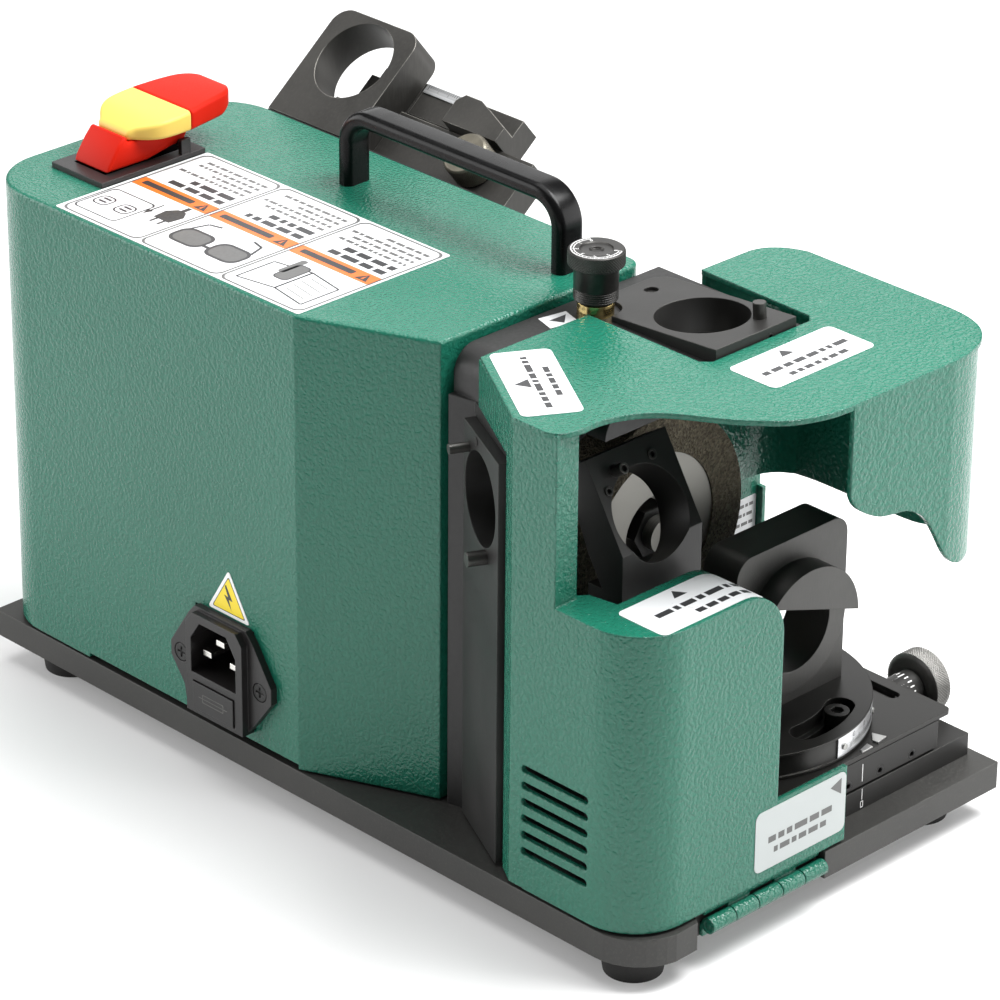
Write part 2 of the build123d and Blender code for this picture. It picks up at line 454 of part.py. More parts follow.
pl += cy((TTX, TTY, 20.4), (0, 0, 1), 5.0, 9.0)
add("slide_top_plate", pl)
CSX, CSY = 121.2, -85.6
add("turntable_clamp_screw", cy((CSX, CSY, 25.4), (0, 0, 1), 4.2, 4.4) - Pos(CSX, CSY, 28.2) * extrude(RegularPolygon(2.4, 6), 3)
    + cy((CSX, CSY, 18.95), (0, 0, 1), 2.5, 6.6))
cutall("slide_top_plate", [cy((CSX, CSY, 18.95), (0, 0, 1), 2.5, 6.0)])
add("angle_pointers", pz([(129.8, -93.8), (131.6, -98.8), (126.6, -99.6), (126.2, -97.4)], 20.6, 21.2),
    pz([(123.2, -97.6), (123.2, -100.2), (117.9, -100.3), (118.6, -98.9)], 20.6, 21.2))

tt = cy((TTX, TTY, 20.9), (0, 0, 1), TTR, 9.1)
tt -= bx(40, 77, -110, 10, 20, 32) + bx(40, 170, -37.5, 10, 20, 32)
tt -= cy((TTX, TTY, 20), (0, 0, 1), 5.05, 12)
tt -= cy((TTX, TTY, 21.9), (0, 0, 1), TTR + 1, 7.3) - cy((TTX, TTY, 20.8), (0, 0, 1), TTR - 0.6, 9.5)


def arcslot(r, a0, a1, hw, z0, z1):
    p = [(TTX + (r + hw) * math.cos(math.radians(a0 + (a1 - a0) * i / 14)), TTY + (r + hw) * math.sin(math.radians(a0 + (a1 - a0) * i / 14))) for i in range(15)]
    q = [(TTX + (r - hw) * math.cos(math.radians(a1 + (a0 - a1) * i / 14)), TTY + (r - hw) * math.sin(math.radians(a1 + (a0 - a1) * i / 14))) for i in range(15)]
    s = pz(p + q, z0, z1)
    for a in (a0, a1):
        s += cy((TTX + r * math.cos(math.radians(a)), TTY + r * math.sin(math.radians(a)), z0), (0, 0, 1), hw, z1 - z0)
    return s


SR = math.hypot(CSX - TTX, CSY - TTY)
SA = math.degrees(math.atan2(CSY - TTY, CSX - TTX))
tt -= arcslot(SR, SA - 29, SA + 5, 5.0, 25.0, 31)
tt -= arcslot(SR, SA - 29, SA + 5, 2.9, 20, 31)
add("turntable", tt)
rg = cy((TTX, TTY, 21.9), (0, 0, 1), TTR, 7.3) - cy((TTX, TTY, 20.8), (0, 0, 1), TTR - 0.6, 9.5)
sec = pz([(TTX, TTY)] + [(TTX + 60 * math.cos(math.radians(a)), TTY + 60 * math.sin(math.radians(a))) for a in range(-88, 3, 5)], 20, 31)
add("angle_scale", rg & sec)
add("scale_rivets", *[cy((TTX + (TTR - 3) * math.cos(math.radians(a)), TTY + (TTR - 3) * math.sin(math.radians(a)), 25.2),
                       (math.cos(math.radians(a)), math.sin(math.radians(a)), 0), 1.1, 3.6) for a in (-84.2, -52.5)])
cutall("angle_scale", PARTS["scale_rivets"])
cutall("turntable", PARTS["scale_rivets"])
HXc, HZc, HR = 112.6, 59.4, 23.6
ho_ = bx(86, 139.4, -71, -56, 30.0, 91.5)
ho_ = rad(ho_, 7.0, lambda e: abs(e.center().Z - 91.5) < 0.01 and e.bounding_box().size.Y > 10)
ho_ += cy((HXc, -74.2, HZc), (0, 1, 0), HR, 6)
hood = cy((HXc, -80.0, HZc), (0, 1, 0), HR, 9.5)
c19, s19 = math.cos(math.radians(-19)), math.sin(math.radians(-19))
ch = [(HXc + u * c19 - w * s19, HZc + u * s19 + w * c19) for u, w in ((-40, 8.5), (40, 8.5), (40, -60), (-40, -60))]
hood -= py(ch, -81, -74.2)
ho_ += hood
ho_ -= cy((HXc, -74.2, HZc), (0, 1, 0), SEAT_R, 40)
add("cutting_face_holder", ho_)

# feed screw, graduated sleeve and knurled thimble
add("feed_screw", cy((90, TH_Y, TH_Z), (1, 0, 0), 3.0, 85.8))
slv = bx(158.2, 162.0, TH_Y - 7.5, TH_Y + 7.5, 7.2, 18.6) + cy((161.5, TH_Y, TH_Z), (1, 0, 0), 5.4, 2.0) + cy((162.8, TH_Y, TH_Z), (1, 0, 0), 6.0, 12.2)
slv -= cy((150, TH_Y, TH_Z), (1, 0, 0), 3.05, 30)
add("feed_sleeve", slv)
th = cy((175.4, TH_Y, TH_Z), (1, 0, 0), TH_R, 7.8)
th = rad(th, 0.6, lambda e: e.length > 50)
th -= cy((175.0, TH_Y, TH_Z), (1, 0, 0), 3.0, 0.8)
add("feed_thimble", th - PARTS["feed_screw"][0])

# ------------------------------------------------------------ presetting device on the right side
PT = math.radians(39)
PO = (113.4, 185.5, 167.2)
PN = (-math.sin(PT), 0, math.cos(PT))
PV = (math.cos(PT), 0, math.sin(PT))


def pl3(a, v, w):
    return (PO[0] + PV[0] * v + PN[0] * w, PO[1] - a, PO[2] + PV[2] * v + PN[2] * w)


PPL = Plane(PO, x_dir=(0, -1, 0), z_dir=PN)


def pb(a0, a1, v0, v1, w0, w1):
    # the plane's own y axis is -v or +v depending on handedness; sorted out once here
    s = 1.0 if PPL.y_dir.dot(Vector(*PV)) > 0 else -1.0
    vv = sorted((s * v0, s * v1))
    return PPL * (Pos((a0 + a1) / 2, (vv[0] + vv[1]) / 2, (w0 + w1) / 2) * Box(a1 - a0, vv[1] - vv[0], w1 - w0))


pbk = py([(112.75, 166.2), (113.4, 166.9), pl3(0, 0, -20)[0::2], (126.2, 134), (121, 128), (112.75, 128)], 77, 185.5)
pbk -= py([(118.5, 158), (124, 149), (124, 136), (118.5, 136)], 84, 178)
add("presetter_bracket", pbk)
seat = pb(0, 42, 0, 46, -15, 0)
seat = rad(seat, 7.0, lambda e: abs(e.length - 15) < 0.01 and (e.center() - Vector(*PO)).dot(Vector(*PV)) > 40)
PC = (21.0, 28.3)
seat -= cy(pl3(PC[0], PC[1], 2), (-PN[0], 0, -PN[2]), SEAT_R, 26)
add("presetter_seat", seat)
rail = pb(42.0, 108, 0, 22, -24, -13)
rail -= cy(pl3(87, 13.0, -5), (-PN[0], 0, -PN[2]), 3.05, 30)
add("presetter_rail", rail)
SGN = 1.0 if PPL.y_dir.dot(Vector(*PV)) > 0 else -1.0


def pp(pts, w0, w1):
    f = make_face(Polyline(*[(a, SGN * v, 0) for a, v in pts], close=True))
    return PPL * (Pos(0, 0, w0) * extrude(f, w1 - w0, dir=(0, 0, 1)))


ps = pb(44.8, 92.5, 22.35, 35.4, -23.0, -13)
ps += pp([(66, 22.35), (66, 31.2), (68.6, 34.4), (76.5, 34.4), (92.5, 28.2), (92.5, 22.35)], -13.0, -7.0)
ps += pp([(5.5, 13.5), (5.5, 20.5), (9.5, 20.5), (9.5, 17), (13.5, 17), (13.5, 33.2), (17.5, 33.2), (17.5, 37.5), (46, 37.5), (46, 22.35), (33, 22.35), (33, 13.5)], -23.0, -19.0)
add("presetter_stop_slide", ps)
add("presetter_scale_plate", pb(45.2, 65.8, 31.6, 35.2, -13, -12.5))
add("presetter_lock_wheel", cy(pl3(87, 13.0, -12.7), PN, 8.6, 9.2) + cy(pl3(87, 13.0, -22), PN, 3.0, 10))
add("presetter_screws", *[cy((118.6, y, 141), (1, 0, 0), 4.0, 3.2) + cy((HW - 3.2, y, 141), (1, 0, 0), 2.2, 9.4) for y in (92, 170)])
cutall("presetter_bracket", [cy((HW - 4, y, 141), (1, 0, 0), 2.25, 11) for y in (92, 170)])

# ------------------------------------------------------------ labels
add("machine_labels", bx(1.6, 69.8, 46.6, 168.2, HH, HH + 0.25),
    px([(80.9, 62.4), (91.6, 45.2), (70.6, 45.2)], -0.25, 0.0),
    pz([(59.6, -4.6), (70.2, -6.6), (67.8, -14.6), (57.2, -12.6)], 164.7, 164.9))
ro = [(10.8, 107.2), (47.0, 107.2)] + arc(47.0, 107.0 - RR, RR + 0.2, 86, 60, 6)
ri = arc(47.0, 107.0 - RR, RR + 0.02, 60, 86, 6) + [(47.0, 107.0), (10.8, 107.0)]
add("cover_labels", bx(73.2, 119.0, -95.6, -76.2, COVER_TOP, COVER_TOP + 0.2),
    pz([(27, -17.5), (41.6, -27.4), (17.6, -66), (2.6, -57.2)], COVER_TOP, COVER_TOP + 0.2),
    py(ro + ri, -109.2, -88.8),
    bx(54.8, 98.0, -111.05, -110.8, 4.4, 26.6), bx(141.6, 153.0, -17.45, -17.2, 54.0, 74.6))

# ------------------------------------------------------------ save
allb = None
for name, sols in PARTS.items():
    moved = [Pos(*SHIFT) * s for s in sols]
    for m in moved:
        b = m.bounding_box()
        allb = b if allb is None else allb.add(b)
    obj = moved[0] if len(moved) == 1 else Compound(children=moved)
    obj.label = name
    export_step(obj, "parts/" + name + ".step")
print("nodes", len(PARTS), "bbox", allb.min, allb.max)
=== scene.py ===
import bpy
import bmesh
import json
import math
import random
from mathutils import Matrix, Vector

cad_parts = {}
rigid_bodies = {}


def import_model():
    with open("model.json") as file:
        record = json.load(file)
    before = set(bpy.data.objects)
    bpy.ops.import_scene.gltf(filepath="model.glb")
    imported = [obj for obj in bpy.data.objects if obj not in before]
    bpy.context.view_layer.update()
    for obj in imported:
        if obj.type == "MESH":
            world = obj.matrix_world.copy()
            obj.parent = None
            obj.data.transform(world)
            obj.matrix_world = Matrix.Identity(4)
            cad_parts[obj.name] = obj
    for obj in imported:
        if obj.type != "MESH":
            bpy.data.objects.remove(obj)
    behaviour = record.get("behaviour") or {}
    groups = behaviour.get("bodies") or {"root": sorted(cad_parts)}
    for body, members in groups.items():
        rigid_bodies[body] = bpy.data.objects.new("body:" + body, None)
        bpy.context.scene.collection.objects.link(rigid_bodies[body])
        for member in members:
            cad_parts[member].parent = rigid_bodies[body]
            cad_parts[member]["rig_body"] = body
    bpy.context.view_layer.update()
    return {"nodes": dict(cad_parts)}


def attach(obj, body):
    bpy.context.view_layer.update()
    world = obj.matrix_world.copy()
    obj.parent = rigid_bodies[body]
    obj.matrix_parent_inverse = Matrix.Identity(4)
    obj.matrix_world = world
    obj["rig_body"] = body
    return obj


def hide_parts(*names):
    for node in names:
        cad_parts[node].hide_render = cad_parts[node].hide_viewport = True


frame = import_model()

NODES = frame["nodes"]
BODY_OF = {n: o["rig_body"] for n, o in NODES.items()}
SHIFT = (-88.75, -43.5, 21.0)


def F(x, y, z):
    """A point of the drawing frame in mm, as metres in the shared frame."""
    return Vector(((x + SHIFT[0]) / 1000, (y + SHIFT[1]) / 1000, (z + SHIFT[2]) / 1000))


def D(x, y, z):
    return Vector((x, y, z)).normalized()


# ---------------------------------------------------------------- material nodes
class N:
    """A small helper round one material's node tree."""

    def __init__(self, name, base, rough, metal=0.0, spec=0.5, edge=0.0):
        self.m = bpy.data.materials.new(name)
        self.m.use_nodes = True
        self.t = self.m.node_tree
        self.b = next(n for n in self.t.nodes if n.type == "BSDF_PRINCIPLED")
        self.b.inputs["Base Color"].default_value = (*base, 1)
        self.b.inputs["Roughness"].default_value = rough
        self.b.inputs["Metallic"].default_value = metal
        self.b.inputs["Specular IOR Level"].default_value = spec
        self.m.diffuse_color = (*base, 1)
        self.base = base
        self.last_bump = None
        self.edge_mask = None
        if edge:
            bv = self.new("ShaderNodeBevel")
            bv.samples = 4
            bv.inputs["Radius"].default_value = edge
            self.last_bump = bv.outputs["Normal"]
            self.link(self.last_bump, self.b.inputs["Normal"])
            geo = self.new("ShaderNodeNewGeometry")
            dot = self.new("ShaderNodeVectorMath", operation="DOT_PRODUCT")
            self.link(bv.outputs["Normal"], dot.inputs[0])
            self.link(geo.outputs["Normal"], dot.inputs[1])
            self.edge_mask = self.ramp(dot.outputs["Value"], 0.995, 0.90, 0.0, 1.0)

    def new(self, kind, **props):
        n = self.t.nodes.new(kind)
        for k, v in props.items():
            setattr(n, k, v)
        return n

    def link(self, a, b):
        self.t.links.new(a, b)

    def coords(self, scale=(1, 1, 1), rot=(0, 0, 0)):
        tc = self.new("ShaderNodeTexCoord")
        mp = self.new("ShaderNodeMapping")
        mp.inputs["Scale"].default_value = scale
        mp.inputs["Rotation"].default_value = rot
        self.link(tc.outputs["Object"], mp.inputs["Vector"])
        return mp.outputs["Vector"]

    def noise(self, scale, detail=2.0, rough=0.5, co=None, distortion=0.0):
        n = self.new("ShaderNodeTexNoise")
        n.inputs["Scale"].default_value = scale
        n.inputs["Detail"].default_value = detail
        n.inputs["Roughness"].default_value = rough
        n.inputs["Distortion"].default_value = distortion
        self.link(co if co is not None else self.coords(), n.inputs["Vector"])
        return n.outputs["Fac"]

    def voronoi(self, scale, co=None, feature="F1", smooth=0.4):
        n = self.new("ShaderNodeTexVoronoi", feature=feature)
        n.inputs["Scale"].default_value = scale
        if feature == "SMOOTH_F1":
            n.inputs["Smoothness"].default_value = smooth
        self.link(co if co is not None else self.coords(), n.inputs["Vector"])
        return n.outputs["Distance"]

    def ramp(self, value, a, b, lo=0.0, hi=1.0):
        n = self.new("ShaderNodeMapRange")
        n.inputs["From Min"].default_value = a
        n.inputs["From Max"].default_value = b
        n.inputs["To Min"].default_value = lo
        n.inputs["To Max"].default_value = hi
        self.link(value, n.inputs["Value"])
        return n.outputs["Result"]

    def math(self, op, a, b):
        n = self.new("ShaderNodeMath", operation=op)
        for i, v in enumerate((a, b)):
            if isinstance(v, (int, float)):
                n.inputs[i].default_value = v
            else:
                self.link(v, n.inputs[i])
        return n.outputs[0]

    def mix(self, fac, a, b):
        n = self.new("ShaderNodeMix", data_type="RGBA")
        if isinstance(fac, (int, float)):
            n.inputs["Factor"].default_value = fac
        else:
            self.link(fac, n.inputs["Factor"])
        for v, i in ((a, 6), (b, 7)):
            if isinstance(v, tuple):
                n.inputs[i].default_value = (*v[:3], 1)
            else:
                self.link(v, n.inputs[i])
        return n.outputs[2]

    def worn(self, col, tone, amount=1.0, scale=45):
        """Mix a lighter tone into the colour along the edges, broken up by noise: rubbed wear on the metals, a painted
        highlight on the green paint.
        """
        patch = self.ramp(self.noise(scale, 3.0, 0.6), 0.42, 0.60, 0.12, 1.0)
        return self.mix(self.math("MULTIPLY", self.math("MULTIPLY", self.edge_mask, patch), amount), col, tone)

    def color(self, out):
        self.link(out, self.b.inputs["Base Color"])

    def rough(self, out):
        self.link(out, self.b.inputs["Roughness"])

    def bump(self, height, strength=0.5, dist=0.0002):
        n = self.new("ShaderNodeBump")
        n.inputs["Strength"].default_value = strength
        n.inputs["Distance"].default_value = dist
        self.link(height, n.inputs["Height"])
        if self.last_bump is not None:
            self.link(self.last_bump, n.inputs["Normal"])
        self.last_bump = n.outputs["Normal"]
        self.link(self.last_bump, self.b.inputs["Normal"])
        return n


def tint(c, k):
    return tuple(min(1.0, v * k) for v in c)


def green_paint(name="green_hammered_paint", n_scale=860, depth=0.000135, lo=0.28, hi=0.70):
    """Glossy hammered enamel: fine close-set dimples a little over 1 mm across."""
    g = N(name, (0.0115, 0.135, 0.086), 0.2, 0.0, 0.45, 0.0011)
    co = g.coords((1, 1, 0.92))
    n1 = g.noise(n_scale, 1.0, 0.5, co, 0.2)
    n2 = g.noise(1500, 1.0, 0.5, co)
    isl = g.new("ShaderNodeMapRange", interpolation_type="SMOOTHSTEP")
    isl.inputs["From Min"].default_value = lo
    isl.inputs["From Max"].default_value = hi
    g.link(n1, isl.inputs["Value"])
    h = g.math("ADD", isl.outputs["Result"], g.math("MULTIPLY", n2, 0.35))
    g.bump(h, 1.0, depth)
    big = g.noise(9, 3.0, 0.5)
    c1 = g.mix(g.ramp(big, 0.3, 0.7), (0.0102, 0.126, 0.080), (0.0130, 0.144, 0.093))
    c2 = g.mix(g.ramp(isl.outputs["Result"], 0.0, 1.0, 0.0, 0.55), c1, (0.0085, 0.108, 0.068))
    # painted highlight: a lighter green mixed in along the edges of the enamel
    c3 = g.worn(c2, (0.020, 0.175, 0.122), 0.55, 60)
    g.color(c3)
    g.rough(g.ramp(g.noise(60, 3.0), 0.3, 0.7, 0.18, 0.25))
    return g.m


def dark_steel(name, base=(0.018, 0.0175, 0.0165), rough=0.42, metal=0.35, lay=(1, 40, 40), grain=260, bump=0.25, wear=(0.10, 0.097, 0.088), amount=0.55):
    g = N(name, base, rough, metal, 0.5, 0.00045)
    co = g.coords(lay)
    lines = g.noise(grain, 3.0, 0.6, co)
    cloud = g.noise(24, 4.0, 0.55)
    fine = g.noise(1500, 2.0, 0.5)
    c = g.mix(g.ramp(cloud, 0.35, 0.7), tint(base, 0.78), tint(base, 1.35))
    c = g.mix(g.ramp(lines, 0.45, 0.8, 0.0, 0.35), c, tint(base, 2.0))
    g.color(g.worn(c, wear, amount))
    g.rough(g.ramp(g.math("ADD", cloud, g.math("MULTIPLY", lines, 0.4)), 0.4, 1.0, rough - 0.08, rough + 0.1))
    g.bump(fine, bump, 0.00003)
    return g.m


def plate_steel():
    g = N("base_plate_phosphate", (0.040, 0.039, 0.037), 0.5, 0.25, 0.5, 0.0006)
    cloud = g.noise(14, 5.0, 0.6)
    fine = g.noise(900, 3.0, 0.6)
    scr = g.noise(120, 3.0, 0.6, g.coords((1, 30, 8), (0, 0, 0.5)))
    c = g.mix(g.ramp(cloud, 0.3, 0.7), (0.030, 0.0295, 0.028), (0.046, 0.045, 0.042))
    c = g.mix(g.ramp(fine, 0.5, 0.75, 0.0, 0.4), c, (0.09, 0.088, 0.08))
    c = g.mix(g.ramp(scr, 0.62, 0.72, 0.0, 0.22), c, (0.10, 0.098, 0.092))
    g.color(g.worn(c, (0.11, 0.108, 0.10), 0.5))
    g.rough(g.ramp(fine, 0.3, 0.7, 0.42, 0.58))
    g.bump(fine, 0.25, 0.00005)
    return g.m


def simple(name, base, rough, metal=0.0, spec=0.5, cloud=20, fine=900, bump=0.15, dist=0.00004, var=0.12, coat=0.0, edge=0.0):
    g = N(name, base, rough, metal, spec, edge)
    a = g.noise(cloud, 4.0, 0.55)
    f = g.noise(fine, 2.0, 0.5)
    g.color(g.mix(g.ramp(a, 0.3, 0.7), tint(base, 1 - var), tint(base, 1 + var)))
    g.rough(g.ramp(f, 0.3, 0.7, max(0.03, rough - 0.05), rough + 0.05))
    g.bump(f, bump, dist)
    if coat:
        g.b.inputs["Coat Weight"].default_value = coat
        g.b.inputs["Coat Roughness"].default_value = 0.12
    return g.m


def grit():
    g = N("abrasive_grit", (0.125, 0.114, 0.086), 0.85, 0.0, 0.3)
    v = g.voronoi(1300, None, "F1")
    cellc = g.new("ShaderNodeTexVoronoi", feature="F1")
    cellc.inputs["Scale"].default_value = 1300
    g.link(g.coords(), cellc.inputs["Vector"])
    bw = g.new("ShaderNodeSeparateColor")
    g.link(cellc.outputs["Color"], bw.inputs["Color"])
    n = g.noise(500, 4.0, 0.6)
    c = g.mix(g.ramp(bw.outputs[0], 0.0, 1.0), (0.066, 0.054, 0.037), (0.19, 0.165, 0.112))
    c = g.mix(g.ramp(n, 0.35, 0.7, 0, 0.6), c, (0.055, 0.046, 0.034))
    g.color(c)
    g.bump(g.math("ADD", v, n), 0.9, 0.0005)
    return g.m


def turned(name, base, rough, axis="Z", metal=1.0, rings=900):
    """Metal with fine turning marks round an axis or along it."""
    sc = {"X": (rings, 8, 8), "Y": (8, rings, 8), "Z": (8, 8, rings)}[axis]
    g = N(name, base, rough, metal, 0.5, 0.0003)
    co = g.coords(sc)
    l = g.noise(1.0, 3.0, 0.6, co)
    a = g.noise(40, 3.0)
    g.color(g.mix(g.ramp(l, 0.3, 0.75), tint(base, 0.8), tint(base, 1.15)))
    g.rough(g.ramp(g.math("ADD", l, a), 0.6, 1.4, rough - 0.07, rough + 0.09))
    g.bump(l, 0.2, 0.00004)
    return g.m


MAT = {
    "green": green_paint(),
    "green_cover": green_paint("green_hammered_paint_cover", 700, 0.00017, 0.28, 0.70),
    "steel_x": dark_steel("black_oxide_milled", lay=(1, 30, 30)),
    "steel_y": dark_steel("black_oxide_ground", (0.022, 0.0215, 0.020), 0.36, 0.5, (30, 1, 30)),
    "steel_soft": dark_steel("black_oxide_satin", (0.018, 0.0176, 0.017), 0.42, 0.4, (20, 20, 1), 200),
    "steel_seat": dark_steel("rubbed_presetter_steel", (0.036, 0.0345, 0.0315), 0.44, 0.5, (6, 6, 1), 160, 0.3, (0.42, 0.41, 0.37), 0.8),
    "plate": plate_steel(),
    "cast": simple("black_cast_iron", (0.013, 0.0128, 0.0125), 0.46, 0.2, 0.5, 30, 700, 0.5, 0.00007, 0.2, 0.0, 0.0007),
    "gloss_black": simple("gloss_black_enamel", (0.0026, 0.0026, 0.0028), 0.26, 0.0, 0.17, 10, 120, 0.05, 0.00002, 0.1, 0.0, 0.0),
    "black_plastic": simple("black_moulded_plastic", (0.011, 0.0098, 0.0098), 0.4, 0.0, 0.5, 20, 2200, 0.3, 0.00003, 0.12, 0.0, 0.0005),
    "rubber": simple("foot_rubber", (0.016, 0.0155, 0.015), 0.7, 0.0, 0.35, 30, 1500, 0.4, 0.00006, 0.2, 0.0, 0.0009),
    "red": simple("red_switch_plastic", (0.50, 0.0125, 0.0040), 0.46, 0.0, 0.08, 20, 2600, 0.12, 0.00002, 0.04, 0.0, 0.0005),
    "yellow": simple("yellow_key_plastic", (0.70, 0.50, 0.105), 0.42, 0.0, 0.25, 20, 2600, 0.12, 0.00002, 0.03, 0.0, 0.0005),
    "brass": turned("turned_brass", (0.80, 0.62, 0.27), 0.24, "Z"),
    "nickel": turned("nickel_contact", (0.86, 0.84, 0.80), 0.22, "X"),
    "bright_x": turned("bright_steel_x", (0.62, 0.62, 0.61), 0.27, "X"),
    "bright_y": turned("bright_steel_y", (0.62, 0.62, 0.61), 0.27, "Y"),
    "bright_z": turned("bright_steel_z", (0.50, 0.50, 0.49), 0.27, "Z"),
    "pin": dark_steel("ground_pin_steel", (0.050, 0.049, 0.046), 0.34, 0.7, (1, 1, 30), 200, 0.1),
    "knurl": dark_steel("dark_knurled_steel", (0.125, 0.122, 0.116), 0.36, 0.85, (1, 1, 1), 300, 0.1, (0.30, 0.295, 0.28), 0.9),
    "knurl_dial": dark_steel("oiled_knurled_steel", (0.038, 0.037, 0.035), 0.34, 0.8, (1, 1, 1), 300, 0.1, (0.15, 0.147, 0.14), 0.9),
    # painted highlight: a lighter copy of the satin black oxide, so the whole holder shows as bright as its lit top
    "steel_hood_lit": dark_steel("holder_steel_lightened_for_highlight", (0.062, 0.061, 0.058), 0.42, 0.5, (20, 20, 1), 200),
    "knurl_brown": dark_steel("worn_knurled_steel", (0.15, 0.138, 0.11), 0.38, 0.85, (1, 1, 1), 300, 0.15, (0.34, 0.32, 0.27), 0.9),
    "scale": turned("satin_scale_aluminium", (0.72, 0.73, 0.74), 0.32, "Z", 0.9, 1500),
    "alu": turned("machined_aluminium", (0.40, 0.40, 0.385), 0.36, "Y", 0.95),
    "hub": turned("machined_hub_steel", (0.26, 0.255, 0.235), 0.42, "Y", 0.9),
    "core": simple("laminated_core_steel", (0.22, 0.21, 0.20), 0.5, 0.8, 0.5, 60, 900, 0.3),
    "film": simple("white_label_film", (0.68, 0.69, 0.70), 0.32, 0.0, 0.5, 8, 300, 0.08, 0.00002, 0.012),
    "film_grey": simple("pale_label_film", (0.44, 0.47, 0.465), 0.34, 0.0, 0.5, 8, 300, 0.08, 0.00002, 0.02),
    "film_yellow": simple("yellow_sign_film", (0.86, 0.66, 0.02), 0.34, 0.0, 0.5, 8, 300, 0.08, 0.00002, 0.02),
    "ink_orange": simple("orange_print", (0.64, 0.135, 0.02), 0.36, 0.0, 0.5, 10, 500, 0.05, 0.00002, 0.03),
    "ink_dark": simple("dark_print", (0.028, 0.028, 0.030), 0.42, 0.0, 0.5, 10, 900, 0.05, 0.00002, 0.15),
    "ink_grey": simple("grey_print", (0.10, 0.10, 0.098), 0.42, 0.0, 0.5, 10, 900, 0.05, 0.00002, 0.15),
    "ink_white": simple("white_fill", (0.86, 0.86, 0.85), 0.5, 0.0, 0.5, 10, 900, 0.05, 0.00002, 0.03),
    "grit": grit(),
    "hole": simple("shadow_recess", (0.004, 0.004, 0.004), 0.8, 0.0, 0.2),
}


def glass():
    g = N("fuse_glass", (0.75, 0.80, 0.79), 0.08, 0.0, 0.5)
    a = g.noise(400, 2.0)
    g.color(g.mix(g.ramp(a, 0.3, 0.7), (0.70, 0.76, 0.75), (0.80, 0.85, 0.84)))
    g.b.inputs["Transmission Weight"].default_value = 0.6
    return g.m


MAT["glass"] = glass()

LOOK = {
    "motor_housing": ("green", 0.5), "head_cover": ("green_cover", 0.45), "hinge_base_leaf": ("green", 0.15), "hinge_cover_leaf": ("green", 0.15),
    "hinge_pin": ("green", 0.1), "base_plate": ("plate", 0.6), "left_seat": ("steel_soft", 0.4), "top_seat": ("steel_x", 0.5),
    "front_seat": ("steel_soft", 0.4), "slide_base": ("steel_x", 0.4), "cross_slide": ("steel_x", 0.35), "slide_gib": ("steel_x", 0.1),
    "slide_top_plate": ("steel_y", 0.25), "turntable": ("steel_y", 0.3), "cutting_face_holder": ("steel_hood_lit", 0.5),
    "presetter_bracket": ("cast", 0.5), "presetter_seat": ("steel_seat", 0.7), "presetter_rail": ("steel_seat", 0.4),
    "presetter_stop_slide": ("steel_seat", 0.4), "turntable_clamp_screw": ("steel_x", 0.3), "gib_screws": ("cast", 0.15),
    "handle_screws": ("steel_x", 0.3), "foot_screws": ("steel_x", 0.3), "motor_mount_screws": ("steel_x", 0.3),
    "presetter_screws": ("steel_x", 0.3), "inlet_screws": ("cast", 0.25), "head_casting": ("cast", 0.6), "handle": ("gloss_black", 2.2),
    "rubber_feet": ("rubber", 0.8), "switch_body": ("black_plastic", 0.5), "inlet_body": ("black_plastic", 0.4), "fuse_drawer": ("black_plastic", 0.4),
    "switch_paddle": ("red", 0.9), "switch_key": ("yellow", 0.7), "inlet_pins": ("nickel", 0.25), "dial_brass_ring": ("brass", 0.35),
    "feed_nut": ("brass", 0.3), "seat_index_pins": ("pin", 0.3), "seat_screws": ("steel_x", 0.3), "spindle_shaft": ("hub", 0.5),
    "spindle_bearings": ("bright_y", 0.3), "feed_screw": ("bright_x", 0.3), "wheel_nut": ("steel_x", 0.4), "scale_rivets": ("alu", 0.2),
    "angle_pointers": ("bright_z", 0.06), "dial_knob": ("knurl", 0.3), "feed_thimble": ("knurl", 0.3), "presetter_lock_wheel": ("knurl_brown", 0.3),
    "wheel_abrasive": ("grit", 0.6), "wheel_hub": ("hub", 0.4), "motor_casing": ("alu", 0.5), "motor_stator": ("core", 0.3),
    "motor_rotor": ("core", 0.3), "angle_scale": ("scale", 0.08), "feed_sleeve": ("steel_x", 0.25), "presetter_scale_plate": ("scale", 0.06),
    "machine_labels": ("film", 0.0), "cover_labels": ("film", 0.0), "fuses": ("glass", 0.2),
}


def dress(node, key):
    """Material on a CAD node. Its mesh is split at every CAD face, so its own smooth shading is exact."""
    o = NODES[node]
    o.data.materials.clear()
    o.data.materials.append(MAT[key])
    for p in o.data.polygons:
        p.use_smooth = True


for _n, (_k, _b) in LOOK.items():
    dress(_n, _k)
assert set(LOOK) == set(NODES), set(NODES) ^ set(LOOK)

# ---------------------------------------------------------------- pieces made in mesh code
def finish_mesh(name, bm, mats, body, angle=38, replaces=()):
    me = bpy.data.meshes.new(name)
    bmesh.ops.recalc_face_normals(bm, faces=bm.faces)
    bm.to_mesh(me)
    bm.free()
    for m in mats:
        me.materials.append(MAT[m])
    for p in me.polygons:
        p.use_smooth = True
    me.set_sharp_from_angle(angle=math.radians(angle))
    o = bpy.data.objects.new(name, me)
    bpy.context.scene.collection.objects.link(o)
    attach(o, body)
    if replaces:
        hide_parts(*replaces)
    return o


def basis(axis):
    w = Vector(axis).normalized()
    u = Vector((0, 0, 1)).cross(w)
    if u.length < 1e-4:
        u = Vector((1, 0, 0))
    u.normalize()
    return u, w.cross(u), w


def tri_wave(x):
    f = x - math.floor(x)
    return abs(2 * f - 1)


